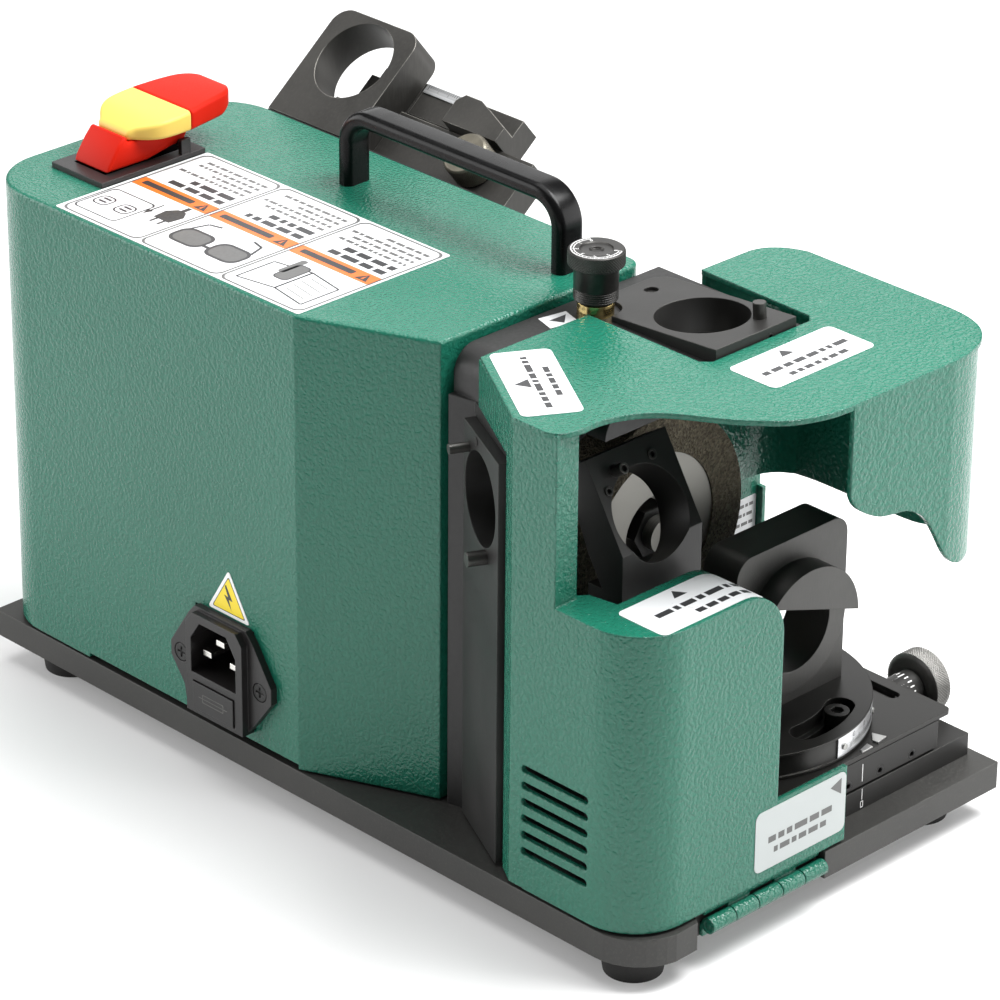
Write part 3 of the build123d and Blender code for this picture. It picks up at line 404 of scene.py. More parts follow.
def knob(name, origin, axis, rows, n, k, pitch, body, mats, replaces=(), straight=False):
    """Turned piece. rows: (height mm, radius mm, knurl depth mm, material index). The knurl is a crossed diamond pattern."""
    u, v, w = basis(axis)
    o = Vector(origin)
    bm = bmesh.new()
    rings = []
    for h, r, kd, mi in rows:
        if r <= 0:
            rings.append(([bm.verts.new(o + w * (h / 1000))], mi))
            continue
        ring = []
        for i in range(n):
            t = i / n
            rr = r
            if kd:
                a = tri_wave(t * k + (0 if straight else h / pitch))
                b = a if straight else tri_wave(t * k - h / pitch)
                rr = r - kd * (1 - min(1.0, 1.5 * min(a, b)))
            ang = 2 * math.pi * t
            ring.append(bm.verts.new(o + (u * math.cos(ang) + v * math.sin(ang)) * (rr / 1000) + w * (h / 1000)))
        rings.append((ring, mi))
    for (a, _), (b, mi) in zip(rings, rings[1:]):
        for i in range(n):
            j = (i + 1) % n
            if len(a) == 1 and len(b) == 1:
                continue
            if len(a) == 1:
                f = bm.faces.new((a[0], b[i], b[j]))
            elif len(b) == 1:
                f = bm.faces.new((a[i], b[0], a[j]))
            else:
                f = bm.faces.new((a[i], a[j], b[j], b[i]))
            f.material_index = mi
    return finish_mesh(name, bm, mats, body, 34, replaces)


def knurl_rows(h0, h1, r, kd, step, mi=0):
    m = max(2, int(round((h1 - h0) / step)))
    return [(h0 + (h1 - h0) * i / m, r, kd, mi) for i in range(m + 1)]


def rrect(u0, u1, v0, v1, r, n=6):
    out = []
    for cx, cy_, a0 in ((u1 - r, v1 - r, 0), (u0 + r, v1 - r, 90), (u0 + r, v0 + r, 180), (u1 - r, v0 + r, 270)):
        for i in range(n + 1):
            a = math.radians(a0 + 90 * i / n)
            out.append((cx + r * math.cos(a), cy_ + r * math.sin(a)))
    return out


def ring_poly(pts, w):
    """The band of width w just inside a closed outline, as quads."""
    cx = sum(p[0] for p in pts) / len(pts)
    cy_ = sum(p[1] for p in pts) / len(pts)
    sx = (max(p[0] for p in pts) - min(p[0] for p in pts)) / 2
    sy = (max(p[1] for p in pts) - min(p[1] for p in pts)) / 2
    inn = [(cx + (x - cx) * (1 - w / sx), cy_ + (y - cy_) * (1 - w / sy)) for x, y in pts]
    m = len(pts)
    return [[pts[i], pts[(i + 1) % m], inn[(i + 1) % m], inn[i]] for i in range(m)]


def sector(cx, cy_, r0, r1, a0, a1, n=24):
    o = [(cx + r1 * math.cos(math.radians(a0 + (a1 - a0) * i / n)), cy_ + r1 * math.sin(math.radians(a0 + (a1 - a0) * i / n))) for i in range(n + 1)]
    i_ = [(cx + r0 * math.cos(math.radians(a0 + (a1 - a0) * i / n)), cy_ + r0 * math.sin(math.radians(a0 + (a1 - a0) * i / n))) for i in range(n + 1)]
    return [[o[i], o[i + 1], i_[i + 1], i_[i]] for i in range(n)]


def line(p, q, w):
    dx, dy = q[0] - p[0], q[1] - p[1]
    l = math.hypot(dx, dy) or 1
    nx, ny = -dy / l * w / 2, dx / l * w / 2
    return [(p[0] + nx, p[1] + ny), (q[0] + nx, q[1] + ny), (q[0] - nx, q[1] - ny), (p[0] - nx, p[1] - ny)]


def chain(pts, w, closed=False):
    m = len(pts)
    return [line(pts[i], pts[(i + 1) % m], w) for i in range(m if closed else m - 1)]


SEG = {"0": "abcdef", "1": "bc", "2": "abged", "3": "abgcd", "4": "fgbc", "5": "afgcd", "6": "afgedc", "7": "abc", "8": "abcdefg", "9": "abcdfg"}


def digits(text, x, y, h, w, ang=0.0):
    """Plain stroke numerals, centred on x, y."""
    out = []
    cw, gap = h * 0.52, h * 0.28
    total = len(text) * cw + (len(text) - 1) * gap
    P = {"a": ((0, 1), (1, 1)), "b": ((1, 1), (1, .5)), "c": ((1, .5), (1, 0)), "d": ((0, 0), (1, 0)), "e": ((0, 0), (0, .5)), "f": ((0, .5), (0, 1)), "g": ((0, .5), (1, .5))}
    c, s_ = math.cos(math.radians(ang)), math.sin(math.radians(ang))
    for i, ch in enumerate(text):
        x0 = -total / 2 + i * (cw + gap)
        for k in SEG[ch]:
            q = []
            for a, b in P[k]:
                lx, ly = x0 + a * cw, (b - 0.5) * h
                q.append((x + lx * c - ly * s_, y + lx * s_ + ly * c))
            out.append(line(q[0], q[1], w))
    return out


def words(u0, u1, v, h, seed, vertical=False):
    """A line of plain bars that stands for a line of print."""
    rnd = random.Random(seed)
    out = []
    u = u0
    while u < u1 - 0.8:
        l = min(rnd.uniform(1.6, 5.6) * h / 2.0, u1 - u)
        r = [(u, v - h / 2), (u + l, v - h / 2), (u + l, v + h / 2), (u, v + h / 2)]
        out.append([(b, a) for a, b in r] if vertical else r)
        u += l + h * 0.5
    return out


def print_on(name, items, mapf, body, mats, cuts=(), replaces=()):
    """Flat shapes (polygon, material index, h0, h1 in mm) laid on a surface by mapf(u, v, h)."""
    bm = bmesh.new()
    for pts, mi, h0, h1 in items:
        t = bmesh.new()
        vs = [t.verts.new((x, y, 0)) for x, y in pts]
        try:
            t.faces.new(vs)
        except ValueError:
            t.free()
            continue
        for c in cuts:
            bmesh.ops.bisect_plane(t, geom=t.verts[:] + t.edges[:] + t.faces[:], plane_co=(c, 0, 0), plane_no=(1, 0, 0))
        t.normal_update()
        if t.faces and sum(f.normal.z for f in t.faces) < 0:
            bmesh.ops.reverse_faces(t, faces=t.faces)
        top = {v: bm.verts.new(mapf(v.co.x, v.co.y, h1)) for v in t.verts}
        bot = {v: bm.verts.new(mapf(v.co.x, v.co.y, h0)) for v in t.verts}
        for f in t.faces:
            bm.faces.new([top[v] for v in f.verts]).material_index = mi
            bm.faces.new([bot[v] for v in reversed(f.verts)]).material_index = mi
        for e in t.edges:
            if len(e.link_faces) == 1:
                a, b = e.verts
                l = next(x for x in e.link_faces[0].loops if x.edge == e)
                a, b = l.vert, l.link_loop_next.vert
                bm.faces.new((top[a], bot[a], bot[b], top[b])).material_index = mi
        t.free()
    return finish_mesh(name, bm, mats, body, 30, replaces)


# ---- handle: flat bar with rounded edges, bent into a U
def handle():
    path = []
    for z in (167.4, 170, 174, 178):
        path.append((12.6, z, 0.0))
    for i in range(25):
        a = math.radians(180 - 90 * i / 24)
        path.append((23.6 + 11 * math.cos(a), 182.4 + 11 * math.sin(a), math.pi - a))
    for y in (30, 45, 63.8, 82, 98):
        path.append((y, 193.4, math.pi / 2))
    for i in range(25):
        a = math.radians(90 - 90 * i / 24)
        path.append((104.0 + 11 * math.cos(a), 182.4 + 11 * math.sin(a), math.pi - a))
    for z in (178, 174, 170, 167.4):
        path.append((115.0, z, math.pi))
    sec = rrect(-5.65, 5.65, -3.0, 3.0, 2.5, 8)
    bm = bmesh.new()
    rings = []
    for y, z, t in path:
        # tangent turns from +Z to -Z; the outward direction is left of it
        ny, nz = -math.cos(t), math.sin(t)
        rings.append([bm.verts.new(F(89.65 + a, y + ny * b, z + nz * b)) for a, b in sec])
    m = len(sec)
    for a, b in zip(rings, rings[1:]):
        for i in range(m):
            bm.faces.new((a[i], a[(i + 1) % m], b[(i + 1) % m], b[i]))
    bm.faces.new(rings[0])
    bm.faces.new(list(reversed(rings[-1])))
    finish_mesh("carry_handle", bm, ["gloss_black"], "machine", 40, ["handle"])


handle()

# ---- mains switch: flared rocker with its yellow key, both with rounded edges
def crv(pts, n=6):
    out = []
    for i in range(len(pts) - 1):
        p0, p1, p2, p3 = pts[max(i - 1, 0)], pts[i], pts[i + 1], pts[min(i + 2, len(pts) - 1)]
        for j in range(n):
            t = j / n
            out.append(tuple(0.5 * (2 * b + (c - a) * t + (2 * a - 5 * b + 4 * c - d) * t * t + (3 * b - a - 3 * c + d) * t ** 3) for a, b, c, d in zip(p0, p1, p2, p3)))
    out.append(tuple(pts[-1]))
    return out


def at(curve, x):
    for (xa, ya), (xb, yb) in zip(curve, curve[1:]):
        if xa <= x <= xb:
            return ya + (yb - ya) * (x - xa) / max(1e-9, xb - xa)
    return curve[0][1] if x < curve[0][0] else curve[-1][1]


SMY = 181.9
HALF = crv([(38.6, 7.6), (41.0, 9.2), (43.0, 11.6), (45.4, 13.8), (48.6, 15.4), (53.0, 16.1), (60.8, 16.0), (67.0, 15.0), (73.0, 14.0), (78.0, 12.9), (81.8, 11.0), (84.4, 8.4), (85.8, 5.0)])
CROWN = crv([(38.0, 180.4), (40.2, 182.4), (44.0, 184.0), (50.0, 185.2), (60.8, 186.1), (70.0, 186.8), (80.0, 187.0), (84.8, 186.5), (86.6, 185.2)])


def loft(bm, rings, mi=0):
    vs = [[bm.verts.new(F(*p)) for p in r] for r in rings]
    m = len(vs[0])
    for a, b in zip(vs, vs[1:]):
        for i in range(m):
            bm.faces.new((a[i], a[(i + 1) % m], b[(i + 1) % m], b[i])).material_index = mi
    bm.faces.new(list(reversed(vs[0]))).material_index = mi
    bm.faces.new(vs[-1]).material_index = mi


def flap_ring(x, inset):
    w = at(HALF, x) - inset
    zt = at(CROWN, x) - inset
    zb = 178.7 + inset * 0.5 + max(0.0, (x - 78.0)) * 0.30
    r = min(1.5, w * 0.45, (zt - zb) * 0.42)
    return [(x, SMY + a, b) for a, b in rrect(-w, w, zb, zt, r, 5)]


def flap(bm, x0, x1, e0, e1):
    xs = [(x0, e0), (x0 + 0.45 * e0, e0 * 0.35), (x0 + e0, 0.0)]
    n = int((x1 - x0) / 0.9)
    xs += [(x0 + e0 + (x1 - e1 - x0 - e0) * i / n, 0.0) for i in range(1, n)]
    xs += [(x1 - e1, 0.0), (x1 - 0.45 * e1, e1 * 0.35), (x1, e1)]
    loft(bm, [flap_ring(x, i) for x, i in xs])


def inset_poly(pts, d):
    out = []
    m = len(pts)
    for i in range(m):
        (ax, ay), (bx_, by), (cx, cy_) = pts[i - 1], pts[i], pts[(i + 1) % m]
        u = Vector((bx_ - ax, by - ay)).normalized()
        w = Vector((cx - bx_, cy_ - by)).normalized()
        n_ = Vector((-(u.y + w.y), u.x + w.x))
        if n_.length < 1e-6:
            n_ = Vector((-u.y, u.x))
        n_.normalize()
        k = d / max(0.55, n_.dot(Vector((-u.y, u.x))))
        out.append((bx_ + n_.x * k, by + n_.y * k))
    return out


def switch_pieces():
    bm = bmesh.new()
    flap(bm, 38.6, 60.75, 0.9, 0.3)
    finish_mesh("switch_key_yellow", bm, ["yellow"], "switch_lock_key", 40, ["switch_key"])
    bm = bmesh.new()
    flap(bm, 60.95, 85.8, 0.3, 1.3)
    prof = [(28.9, 169.9), (47.0, 169.9), (58.6, 172.0), (63.0, 172.0), (64.6, 175.0), (66.0, 178.6), (38.2, 178.6), (37.9, 180.2), (37.3, 180.75), (36.5, 180.7), (33.6, 177.6), (29.6, 171.8)]
    rings = []
    for y, d in ((-9.1, 0.9), (-8.85, 0.42), (-8.45, 0.1), (-8.1, 0.0), (8.1, 0.0), (8.45, 0.1), (8.85, 0.42), (9.1, 0.9)):
        rings.append([(a, SMY + y, b) for a, b in inset_poly(prof, d)])
    loft(bm, rings)
    finish_mesh("switch_rocker_red", bm, ["red"], "switch_rocker", 40, ["switch_paddle"])


switch_pieces()

# ---- top dial
DX, DY = 76.9, -13.5
zb = 152.0
rows = [(0, 0, 0, 0), (0, 2.7, 0, 0), (0.3, 3.0, 0, 0), (17.2, 3.0, 0, 0), (17.3, 6.2, 0, 0), (17.9, 7.2, 0, 0), (18.3, 7.4, 0, 0)]
for i in range(5):
    h = 18.5 + i * 0.75
    rows += [(h, 7.4, 0, 0), (h + 0.15, 7.1, 0, 0), (h + 0.4, 7.1, 0, 0), (h + 0.55, 7.4, 0, 0)]
rows += [(22.6, 7.4, 0, 0), (29.2, 7.4, 0, 0), (29.5, 7.1, 0, 0), (29.8, 7.1, 0, 0), (29.8, 9.0, 0, 0), (30.1, 9.35, 0, 0)]
rows += knurl_rows(30.25, 34.75, 9.5, 0.34, 0.165)
rows += [(34.95, 9.3, 0, 0), (35.2, 8.95, 0, 0), (35.2, 5.6, 0, 0), (34.95, 5.3, 0, 0), (34.8, 4.6, 0, 0), (34.8, 2.4, 0, 0), (34.2, 2.1, 0, 0), (34.2, 0, 0, 0)]
knob("dial_knurled_head", F(DX, DY, zb), (0, 0, 1), rows, 360, 60, 1.0, "top_dial", ["knurl_dial"], ["dial_knob"])
it = []
for p in sector(0, 0, 8.25, 8.5, 60, 300, 60) + sector(0, 0, 7.3, 7.5, 60, 300, 60):
    it.append((p, 0, -0.02, 0.03))
for i in range(25):
    a = math.radians(60 + 10 * i)
    r0 = 7.3 if i % 4 == 0 else 7.75
    it.append((line((r0 * math.cos(a), r0 * math.sin(a)), (8.5 * math.cos(a), 8.5 * math.sin(a)), 0.16), 0, -0.02, 0.03))
for i in range(7):
    an = 60 + 40 * i
    a = math.radians(an)
    for q in digits(str(i), 6.5 * math.cos(a), 6.5 * math.sin(a), 1.1, 0.15, an - 90):
        it.append((q, 0, -0.02, 0.03))
print_on("dial_scale", it, lambda u, v, h: F(DX + u, DY + v, 187.2 + h), "top_dial", ["ink_white"], ())

# ---- feed thimble, with a dark inner ring, and the graduated sleeve's marks
TY, TZ = -71.7, 13.0
rows = [(0, 3.05, 0, 0), (0, 9.4, 0, 0), (0.12, 10.4, 0, 0), (0.5, 11.2, 0, 0)]
rows += knurl_rows(0.65, 7.1, 11.65, 0.36, 0.18)
rows += [(7.4, 11.2, 0, 0), (7.8, 10.7, 0, 0), (7.8, 6.4, 0, 0), (7.6, 6.1, 0, 0), (7.6, 0, 0, 0)]
knob("thimble_knurled_wheel", F(175.4, TY, TZ), (1, 0, 0), rows, 396, 66, 1.1, "feed_thimble_body", ["knurl"], ["feed_thimble"])
it = []
for i in range(20):
    a = 360 * i / 20 * math.pi / 180
    l = 3.2 if i % 5 == 0 else 1.9
    it.append(([(9.2 - l, a - 0.035), (9.2, a - 0.035), (9.2, a + 0.035), (9.2 - l, a + 0.035)], 0, -0.02, 0.04))
for i in range(9):
    u0 = 1.2 + i * 1.0
    l = 0.5 if i % 5 == 0 else 0.3
    it.append(([(u0, 1.9 - l), (u0 + 0.10, 1.9 - l), (u0 + 0.10, 1.9 + l), (u0, 1.9 + l)], 0, -0.02, 0.04))
print_on("sleeve_marks", it, lambda u, v, h: F(162.0 + u, TY + (6.0 + h) * math.cos(v), TZ + (6.0 + h) * math.sin(v)), "machine", ["ink_white"], ())

# ---- angle scale marks on the turntable rim
it = []
for i in range(-86, 1):
    a = math.radians(i)
    major = (i + 68) % 5 == 0
    z0, z1 = (1.6, 4.4) if major else (1.6, 3.2)
    if -86 <= i <= -81 or -55 <= i <= -50:
        continue
    it.append(([(a - 0.0022, z0), (a + 0.0022, z0), (a + 0.0022, z1), (a - 0.0022, z1)], 0, -0.01, 0.03))
for i, n_ in ((-78, "10"), (-68, "0"), (-58, "10")):
    for q in digits(n_, 0, 5.6, 1.5, 0.16):
        it.append(([(math.radians(i) + x / 48.6, y) for x, y in q], 0, -0.01, 0.03))
print_on("angle_scale_marks", it, lambda u, v, h: F(106.0 + (48.6 + h) * math.cos(u), -50.0 + (48.6 + h) * math.sin(u), 21.9 + v), "swivel", ["ink_dark"], ())

# ---- zero line and 0 on the cross slide and its base
it = [(line((0, 0), (0, 6.6), 0.3), 0, -0.02, 0.03)]
print_on("slide_zero_line", it, lambda u, v, h: F(118.6 + u, -100.2 - h, 9.6 + v), "cross_slide_body", ["ink_white"], ())
it = [(line((0, 3.4), (0, 7.4), 0.3), 0, -0.02, 0.03)] + [(q, 0, -0.02, 0.03) for q in digits("0", 0, 1.6, 2.2, 0.3)]
print_on("base_zero_line", it, lambda u, v, h: F(118.6 + u, -100.4 - h, -0.6 + v), "machine", ["ink_white"], ())

# ---- presetting fixture: knurled lock wheel, scale marks and rivet
PT = math.radians(39)
PO = (113.4, 185.5, 167.2)
PN = (-math.sin(PT), 0, math.cos(PT))
PV = (math.cos(PT), 0, math.sin(PT))


def pl3(a, v, w):
    return F(PO[0] + PV[0] * v + PN[0] * w, PO[1] - a, PO[2] + PV[2] * v + PN[2] * w)


rows = [(-9.3, 0, 0, 0), (-9.3, 3.0, 0, 0), (0, 3.0, 0, 0), (0, 7.9, 0, 0), (0.35, 8.3, 0, 0)] + knurl_rows(0.5, 8.2, 8.6, 0.3, 0.17)
rows += [(8.6, 8.3, 0, 0), (9.2, 7.6, 0, 0), (9.2, 3.2, 0, 0), (8.9, 2.9, 0, 0), (7.6, 2.9, 0, 0), (7.6, 0, 0, 0)]
knob("preset_lock_knurled", pl3(87, 13.0, -12.7), PN, rows, 312, 52, 1.0, "preset_lock", ["knurl_brown"], ["presetter_lock_wheel"])
it = []
for i in range(17):
    l = 1.9 if i % 5 == 0 else 1.2
    it.append(([(46.4 + i, 35.0), (46.6 + i, 35.0), (46.6 + i, 35.0 - l), (46.4 + i, 35.0 - l)], 0, -0.01, 0.03))
print_on("preset_scale_marks", it, lambda u, v, h: pl3(u, v, -12.5 + h), "preset_stop", ["ink_dark"], ())
knob("preset_scale_rivet", pl3(63.6, 33.3, -12.5), PN, [(0, 0.95, 0, 0), (0.2, 0.9, 0, 0), (0.36, 0.6, 0, 0), (0.42, 0, 0, 0)], 24, 1, 1, "preset_stop", ["bright_z"])

# ---- printed labels: film with rounded corners and plain bars, arrows and pictograms
FILM, ORANGE, DARK, GREY, WHITE, YEL = 0, 1, 2, 3, 4, 5
LM = ["film", "ink_orange", "ink_dark", "ink_grey", "ink_white", "film_yellow"]


def lay(items, polys, mi, h0=0.2, h1=0.235):
    for p in polys:
        items.append((p, mi, h0, h1))


it = []
lay(it, [rrect(0, 68.2, 0, 121.6, 0.9)], FILM, 0, 0.2)
for k in range(3):
    v0 = 0.9 + 40.0 * k
    v1 = v0 + 39.4
    lay(it, ring_poly(rrect(1.0, 67.2, v0, v1, 3.4), 0.8), GREY)
    lay(it, [rrect(31.8, 38.6, v0 + 0.6, v1 - 0.6, 0.8)], ORANGE)
    t0 = v0 + 5.4
    lay(it, [[(33.0, t0 - 2.8), (33.0, t0 + 2.8), (37.8, t0)]], DARK, 0.235, 0.26)
    lay(it, [[(33.7, t0 - 0.5), (33.7, t0 + 0.5), (36.6, t0)]], ORANGE, 0.26, 0.28)
    lay(it, [[(b, a) for a, b in rrect(t0 + 5.2, v1 - 3.4, 33.9, 36.7, 0.7)]], DARK, 0.235, 0.26)
    lay(it, words(v0 + 3.2, v1 - 8.0, 42.0, 2.8, 11 + k, True), DARK)
    lay(it, words(v0 + 3.2, v1 - (15 if k else 11), 46.8, 2.8, 21 + k, True), DARK)
    for i in range(4):
        lay(it, words(v0 + 3.2, v1 - (4, 6, 3, 16)[(i + k) % 4], 51.6 + 3.5 * i, 1.5, 31 + 7 * k + i, True), GREY)


def shift(polys, du, dv):
    return [[(a + du, b + dv) for a, b in p] for p in polys]


def enlarge(items, start, cu, cv, k):
    """Scale the sign drawn since item number start about its own centre."""
    for i in range(start, len(items)):
        p, mi, h0, h1 = items[i]
        items[i] = ([(cu + (a - cu) * k, cv + (b - cv) * k) for a, b in p], mi, h0, h1)


# front cell: open book with a hand; middle cell: eye shields; rear cell: plug pulled from a socket
n0 = len(it)
bk = [[(-9, -13), (5, -13), (7.4, 0), (-6.6, 0)], [(-6.6, 0), (7.4, 0), (5, 13), (-9, 13)]]
lay(it, shift([q for p in bk for q in chain(p, 0.6, True)], 16.5, 20.6), DARK)
lay(it, shift([chain([(-6 + 3 * i, -11), (-4.4 + 3 * i, -2)], 0.35)[0] for i in range(4)], 16.5, 20.6), GREY)
lay(it, shift([rrect(-1.5, 9.5, 1.2, 7.0, 2.0), rrect(2.0, 12.0, 5.8, 8.2, 1.0)], 16.0, 20.6), GREY, 0.235, 0.25)
lay(it, shift(ring_poly(rrect(-1.5, 9.5, 1.2, 7.0, 2.0), 0.4), 16.0, 20.6), DARK, 0.25, 0.265)
enlarge(it, n0, 16.5, 20.6, 1.2)
n0 = len(it)
for s_ in (-1, 1):
    g = rrect(-3.2, 4.6, -5.4, 5.4, 3.0)
    lay(it, shift([g], 15.0, 60.6 + 7.0 * s_), GREY)
    lay(it, shift(ring_poly(rrect(-3.9, 5.3, -6.1, 6.1, 3.4), 0.9), 15.0, 60.6 + 7.0 * s_), DARK, 0.235, 0.26)
    lay(it, shift(chain([(4.4, 11.8 * s_), (9.6, 10.2 * s_), (10.6, 6.2 * s_)], 0.8), 15.0, 60.6), DARK)
lay(it, shift([line((-0.6, -1.4), (-0.6, 1.4), 1.2)], 15.0, 60.6), DARK)
enlarge(it, n0, 16.0, 60.6, 1.28)
n0 = len(it)
fr = rrect(-8.2, 8.2, -9.0, 9.0, 2.0)
lay(it, shift(ring_poly(fr, 0.5), 15.2, 107.0), DARK)
for dv in (-4.4, 4.4):
    lay(it, shift(ring_poly(rrect(-3.0, 3.0, dv - 3.0, dv + 3.0, 2.0), 0.5), 15.2, 107.0), DARK, 0.235, 0.255)
    lay(it, shift([rrect(-1.2, -0.3, dv - 1.6, dv + 1.6, 0.3), rrect(0.7, 1.6, dv - 1.6, dv + 1.6, 0.3)], 15.2, 107.0), DARK, 0.235, 0.255)
pg = [[(-3.2, -4.6), (3.2, -4.6), (3.8, 0.5), (1.6, 3.4), (-1.6, 3.4), (-3.8, 0.5)], [(-2.0, -7.4), (-1.1, -7.4), (-1.1, -4.4), (-2.0, -4.4)], [(1.1, -7.4), (2.0, -7.4), (2.0, -4.4), (1.1, -4.4)],
      [(-0.8, 3.2), (0.8, 3.2), (0.8, 6.4), (-0.8, 6.4)]]
lay(it, shift([[(b * 1.0, a) for a, b in p] for p in pg], 22.4, 90.2), DARK)
lay(it, shift([[(-2.4, -1.1), (-2.4, 1.1), (-5.6, 0)], line((-2.6, 0), (2.4, 0), 0.6)], 22.6, 97.2), DARK)
enlarge(it, n0, 16.5, 100.4, 1.2)
print_on("label_housing_top", it, lambda u, v, h: F(1.6 + u, 46.6 + v, 167.4 + h), "machine", LM, (), ["machine_labels"])

# mains sign: white triangle, yellow field, bolt
tr = [(80.9, 62.4), (91.6, 45.2), (70.6, 45.2)]
cx_, cz_ = sum(p[0] for p in tr) / 3, sum(p[1] for p in tr) / 3


def scaled(pts, k, cx0, cy0):
    return [(cx0 + (a - cx0) * k, cy0 + (b - cy0) * k) for a, b in pts]


def rounded_tri(k, r):
    q = scaled(tr, k, cx_, cz_)
    out = []
    for i in range(3):
        p0, p1, p2 = Vector(q[i - 1]), Vector(q[i]), Vector(q[(i + 1) % 3])
        a, b = (p0 - p1).normalized(), (p2 - p1).normalized()
        s0, e0 = p1 + a * r, p1 + b * r
        for j in range(7):
            t = j / 6
            c = s0 * (1 - t) ** 2 + p1 * 2 * t * (1 - t) + e0 * t * t
            out.append((c.x, c.y))
    return out


it = [(rounded_tri(1.0, 1.6), WHITE, 0, 0.2), (rounded_tri(0.80, 1.0), DARK, 0.2, 0.22), (rounded_tri(0.75, 0.9), YEL, 0.22, 0.24)]
bolt = [(82.2, 56.6), (79.0, 51.2), (80.9, 51.4), (79.6, 47.6), (83.3, 52.6), (81.3, 52.3), (82.9, 56.0)]
it.append((bolt, DARK, 0.24, 0.245))
print_on("label_mains_sign", it, lambda u, v, h: F(-h, u, v), "machine", LM, ())

# arrow label on the head
P0 = [(59.6, -4.6), (70.2, -6.6), (67.8, -14.6), (57.2, -12.6)]
it = [(P0, FILM, 0, 0.15), ([(61.0, -8.2), (68.4, -8.4), (63.6, -12.6)], DARK, 0.15, 0.18)]
print_on("label_head_arrow", it, lambda u, v, h: F(u, v, 164.7 + h), "machine", LM, ())


def text_label(name, w, h, mapf, body, film=FILM, cuts=(), tri_at=(0.36, 0.78), tri_pts=None, ink=DARK, reps=(), seed=3, lines=((0.46, 3.0, 0.10, 0.92), (0.20, 2.8, 0.24, 0.80))):
    it = []
    lay(it, [rrect(0, w, 0, h, 2.4)], film, 0, 0.17)
    tp = tri_pts or [(tri_at[0] * w - 2.9, tri_at[1] * h - 2.0), (tri_at[0] * w + 2.9, tri_at[1] * h - 2.0), (tri_at[0] * w, tri_at[1] * h + 2.2)]
    lay(it, [tp], ink, 0.17, 0.195)
    for i, (fv, hh, a, b) in enumerate(lines):
        lay(it, words(a * w, b * w, fv * h, hh * 0.78, seed + i), ink, 0.17, 0.195)
    return print_on(name, it, mapf, body, LM if film == FILM else ["film_grey"] + LM[1:], cuts, reps)


text_label("label_cover_front", 47.4, 20.6, lambda u, v, h: F(72.6 + u, -96.4 + v, 167.0 + h), "head_cover_body", reps=["cover_labels"], tri_at=(0.46, 0.80))
lu, lv = Vector((24.4, 39.7)).normalized(), Vector((15.0, -8.8)).normalized()
text_label("label_cover_left", 47.0, 20.2, lambda u, v, h: F(0.9 + lu.x * u + lv.x * v, -56.6 + lu.y * u + lv.y * v, 167.0 + h), "head_cover_body",
           tri_pts=[(19.8, 8.0), (26.2, 8.0), (23.0, 2.9)], lines=((0.50, 2.7, 0.10, 0.90), (0.76, 2.5, 0.27, 0.72)), seed=9)


def bulge_map(s_, v, h):
    x = 11.6 + s_
    if x <= 47.0:
        return F(x, -109.2 + v, 107.0 + h)
    a = (x - 47.0) / 18.0
    r = 18.0 + h
    return F(47.0 + r * math.sin(a), -109.2 + v, 89.0 + r * math.cos(a))


text_label("label_bulge", 46.4, 21.0, bulge_map, "head_cover_body", cuts=[35.4 + 0.75 * i for i in range(15)], tri_at=(0.50, 0.82), lines=((0.50, 3.2, 0.16, 0.97), (0.22, 3.0, 0.42, 0.94)), seed=15)
it = []
lay(it, [rrect(0, 43.2, 0, 22.2, 2.6)], 0, 0, 0.2)
lay(it, [[(35.6, 18.2), (40.9, 20.2), (40.9, 14.2)]], 3, 0.2, 0.225)
lay(it, words(6.2, 37.5, 10.6, 2.3, 41), 3, 0.2, 0.225)
lay(it, words(9.0, 34.0, 6.2, 2.1, 43), 3, 0.2, 0.225)
print_on("label_lower_front", it, lambda u, v, h: F(54.8 + u, -110.8 - h, 4.4 + v), "head_cover_body", ["film_grey"] + LM[1:], ())
it = []
lay(it, [rrect(0, 11.4, 0, 20.6, 0.8)], 0, 0, 0.15)
for i in range(5):
    lay(it, words(1.2, 10.0, 17.6 - 3.4 * i, 1.2, 51 + i), 3, 0.15, 0.18)
print_on("label_inner_leg", it, lambda u, v, h: F(141.6 + u, -17.2 - h, 54.0 + v), "head_cover_body", LM, ())

# fuse sign on the drawer front
it = []
for p in ring_poly(rrect(-5.4, 5.4, -1.6, 1.6, 0.4), 0.3) + [line((-7.2, 0), (7.2, 0), 0.28)]:
    it.append((p, 0, 0, 0.012))
print_on("fuse_sign", it, lambda u, v, h: F(-5.7 - h, 84.0 + u, 12.1 + v), "fuse_holder", ["knurl"], ())

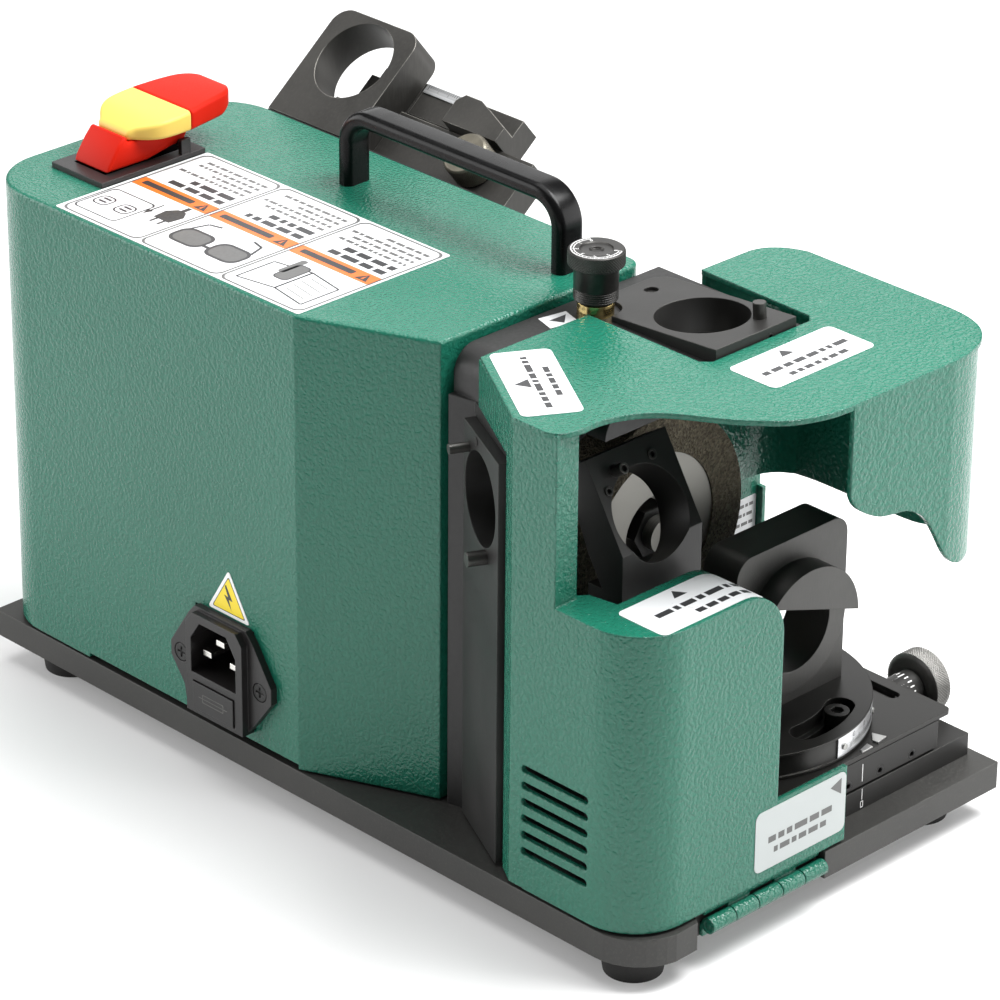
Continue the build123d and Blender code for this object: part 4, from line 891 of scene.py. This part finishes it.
# ---------------------------------------------------------------- camera, floor, light
cam_d = bpy.data.cameras.new("camera")
cam = bpy.data.objects.new("camera", cam_d)
bpy.context.scene.collection.objects.link(cam)
cam_d.sensor_width = 36.0
cam_d.lens = 173.94
cam_d.clip_start, cam_d.clip_end = 0.05, 60
az, el, roll = math.radians(-44.54), math.radians(26.63), math.radians(0.5)
back = Vector((math.sin(az) * math.cos(el), -math.cos(az) * math.cos(el), math.sin(el)))
right = (-back).cross(Vector((0, 0, 1))).normalized()
up = right.cross(-back)
r2 = right * math.cos(roll) + up * math.sin(roll)
u2 = -right * math.sin(roll) + up * math.cos(roll)
cam.matrix_world = Matrix(((r2.x, u2.x, back.x, -1.03176), (r2.y, u2.y, back.y, -1.05016), (r2.z, u2.z, back.z, 0.83111), (0, 0, 0, 1)))
bpy.context.scene.camera = cam


def floor():
    g = N("pale_floor", (0.72, 0.72, 0.72), 0.75, 0.0, 0.2)
    g.b.inputs["Emission Color"].default_value = (1, 1, 1, 1)
    g.b.inputs["Emission Strength"].default_value = 0.16
    a = g.noise(3, 2.0)
    g.color(g.mix(g.ramp(a, 0.3, 0.7), (0.71, 0.71, 0.71), (0.74, 0.74, 0.74)))
    me = bpy.data.meshes.new("floor")
    s = 9.0
    me.from_pydata([(-s, -s, 0), (s, -s, 0), (s, s, 0), (-s, s, 0)], [], [(0, 1, 2, 3)])
    o = bpy.data.objects.new("floor", me)
    me.materials.append(g.m)
    bpy.context.scene.collection.objects.link(o)


floor()


def area(name, loc, target, size, energy, color=(1, 1, 1), size_y=None):
    ld = bpy.data.lights.new(name, "AREA")
    ld.shape = "RECTANGLE"
    ld.size = size
    ld.size_y = size_y or size
    ld.energy = energy
    ld.color = color
    o = bpy.data.objects.new(name, ld)
    bpy.context.scene.collection.objects.link(o)
    o.location = loc
    o.rotation_mode = "QUATERNION"
    o.rotation_quaternion = (Vector(target) - Vector(loc)).to_track_quat("-Z", "Y")
    return o


area("key_left_back", (-1.00, 1.42, 0.60), (0, 0, 0.06), 1.6, 25, size_y=1.15)
area("fill_right_front", (1.35, -1.12, 0.52), (0, 0, 0.06), 1.4, 17, size_y=1.0)
area("sheen_back_right", (1.13, 1.15, 0.82), (0, 0, 0.12), 1.0, 4.5)
area("top_front_right", (0.34, -0.40, 1.10), (0.02, -0.08, 0.15), 0.62, 22)
area("top_soft", (0.05, 0.25, 1.8), (0, 0, 0), 1.6, 26)

world = bpy.data.worlds.new("studio")
world.use_nodes = True
bpy.context.scene.world = world
world.node_tree.nodes["Background"].inputs["Color"].default_value = (1, 1, 1, 1)
world.node_tree.nodes["Background"].inputs["Strength"].default_value = 0.2
vs = bpy.context.scene.view_settings
vs.view_transform = "Standard"
vs.look = "None"
vs.exposure = 0.0
vs.gamma = 1.0
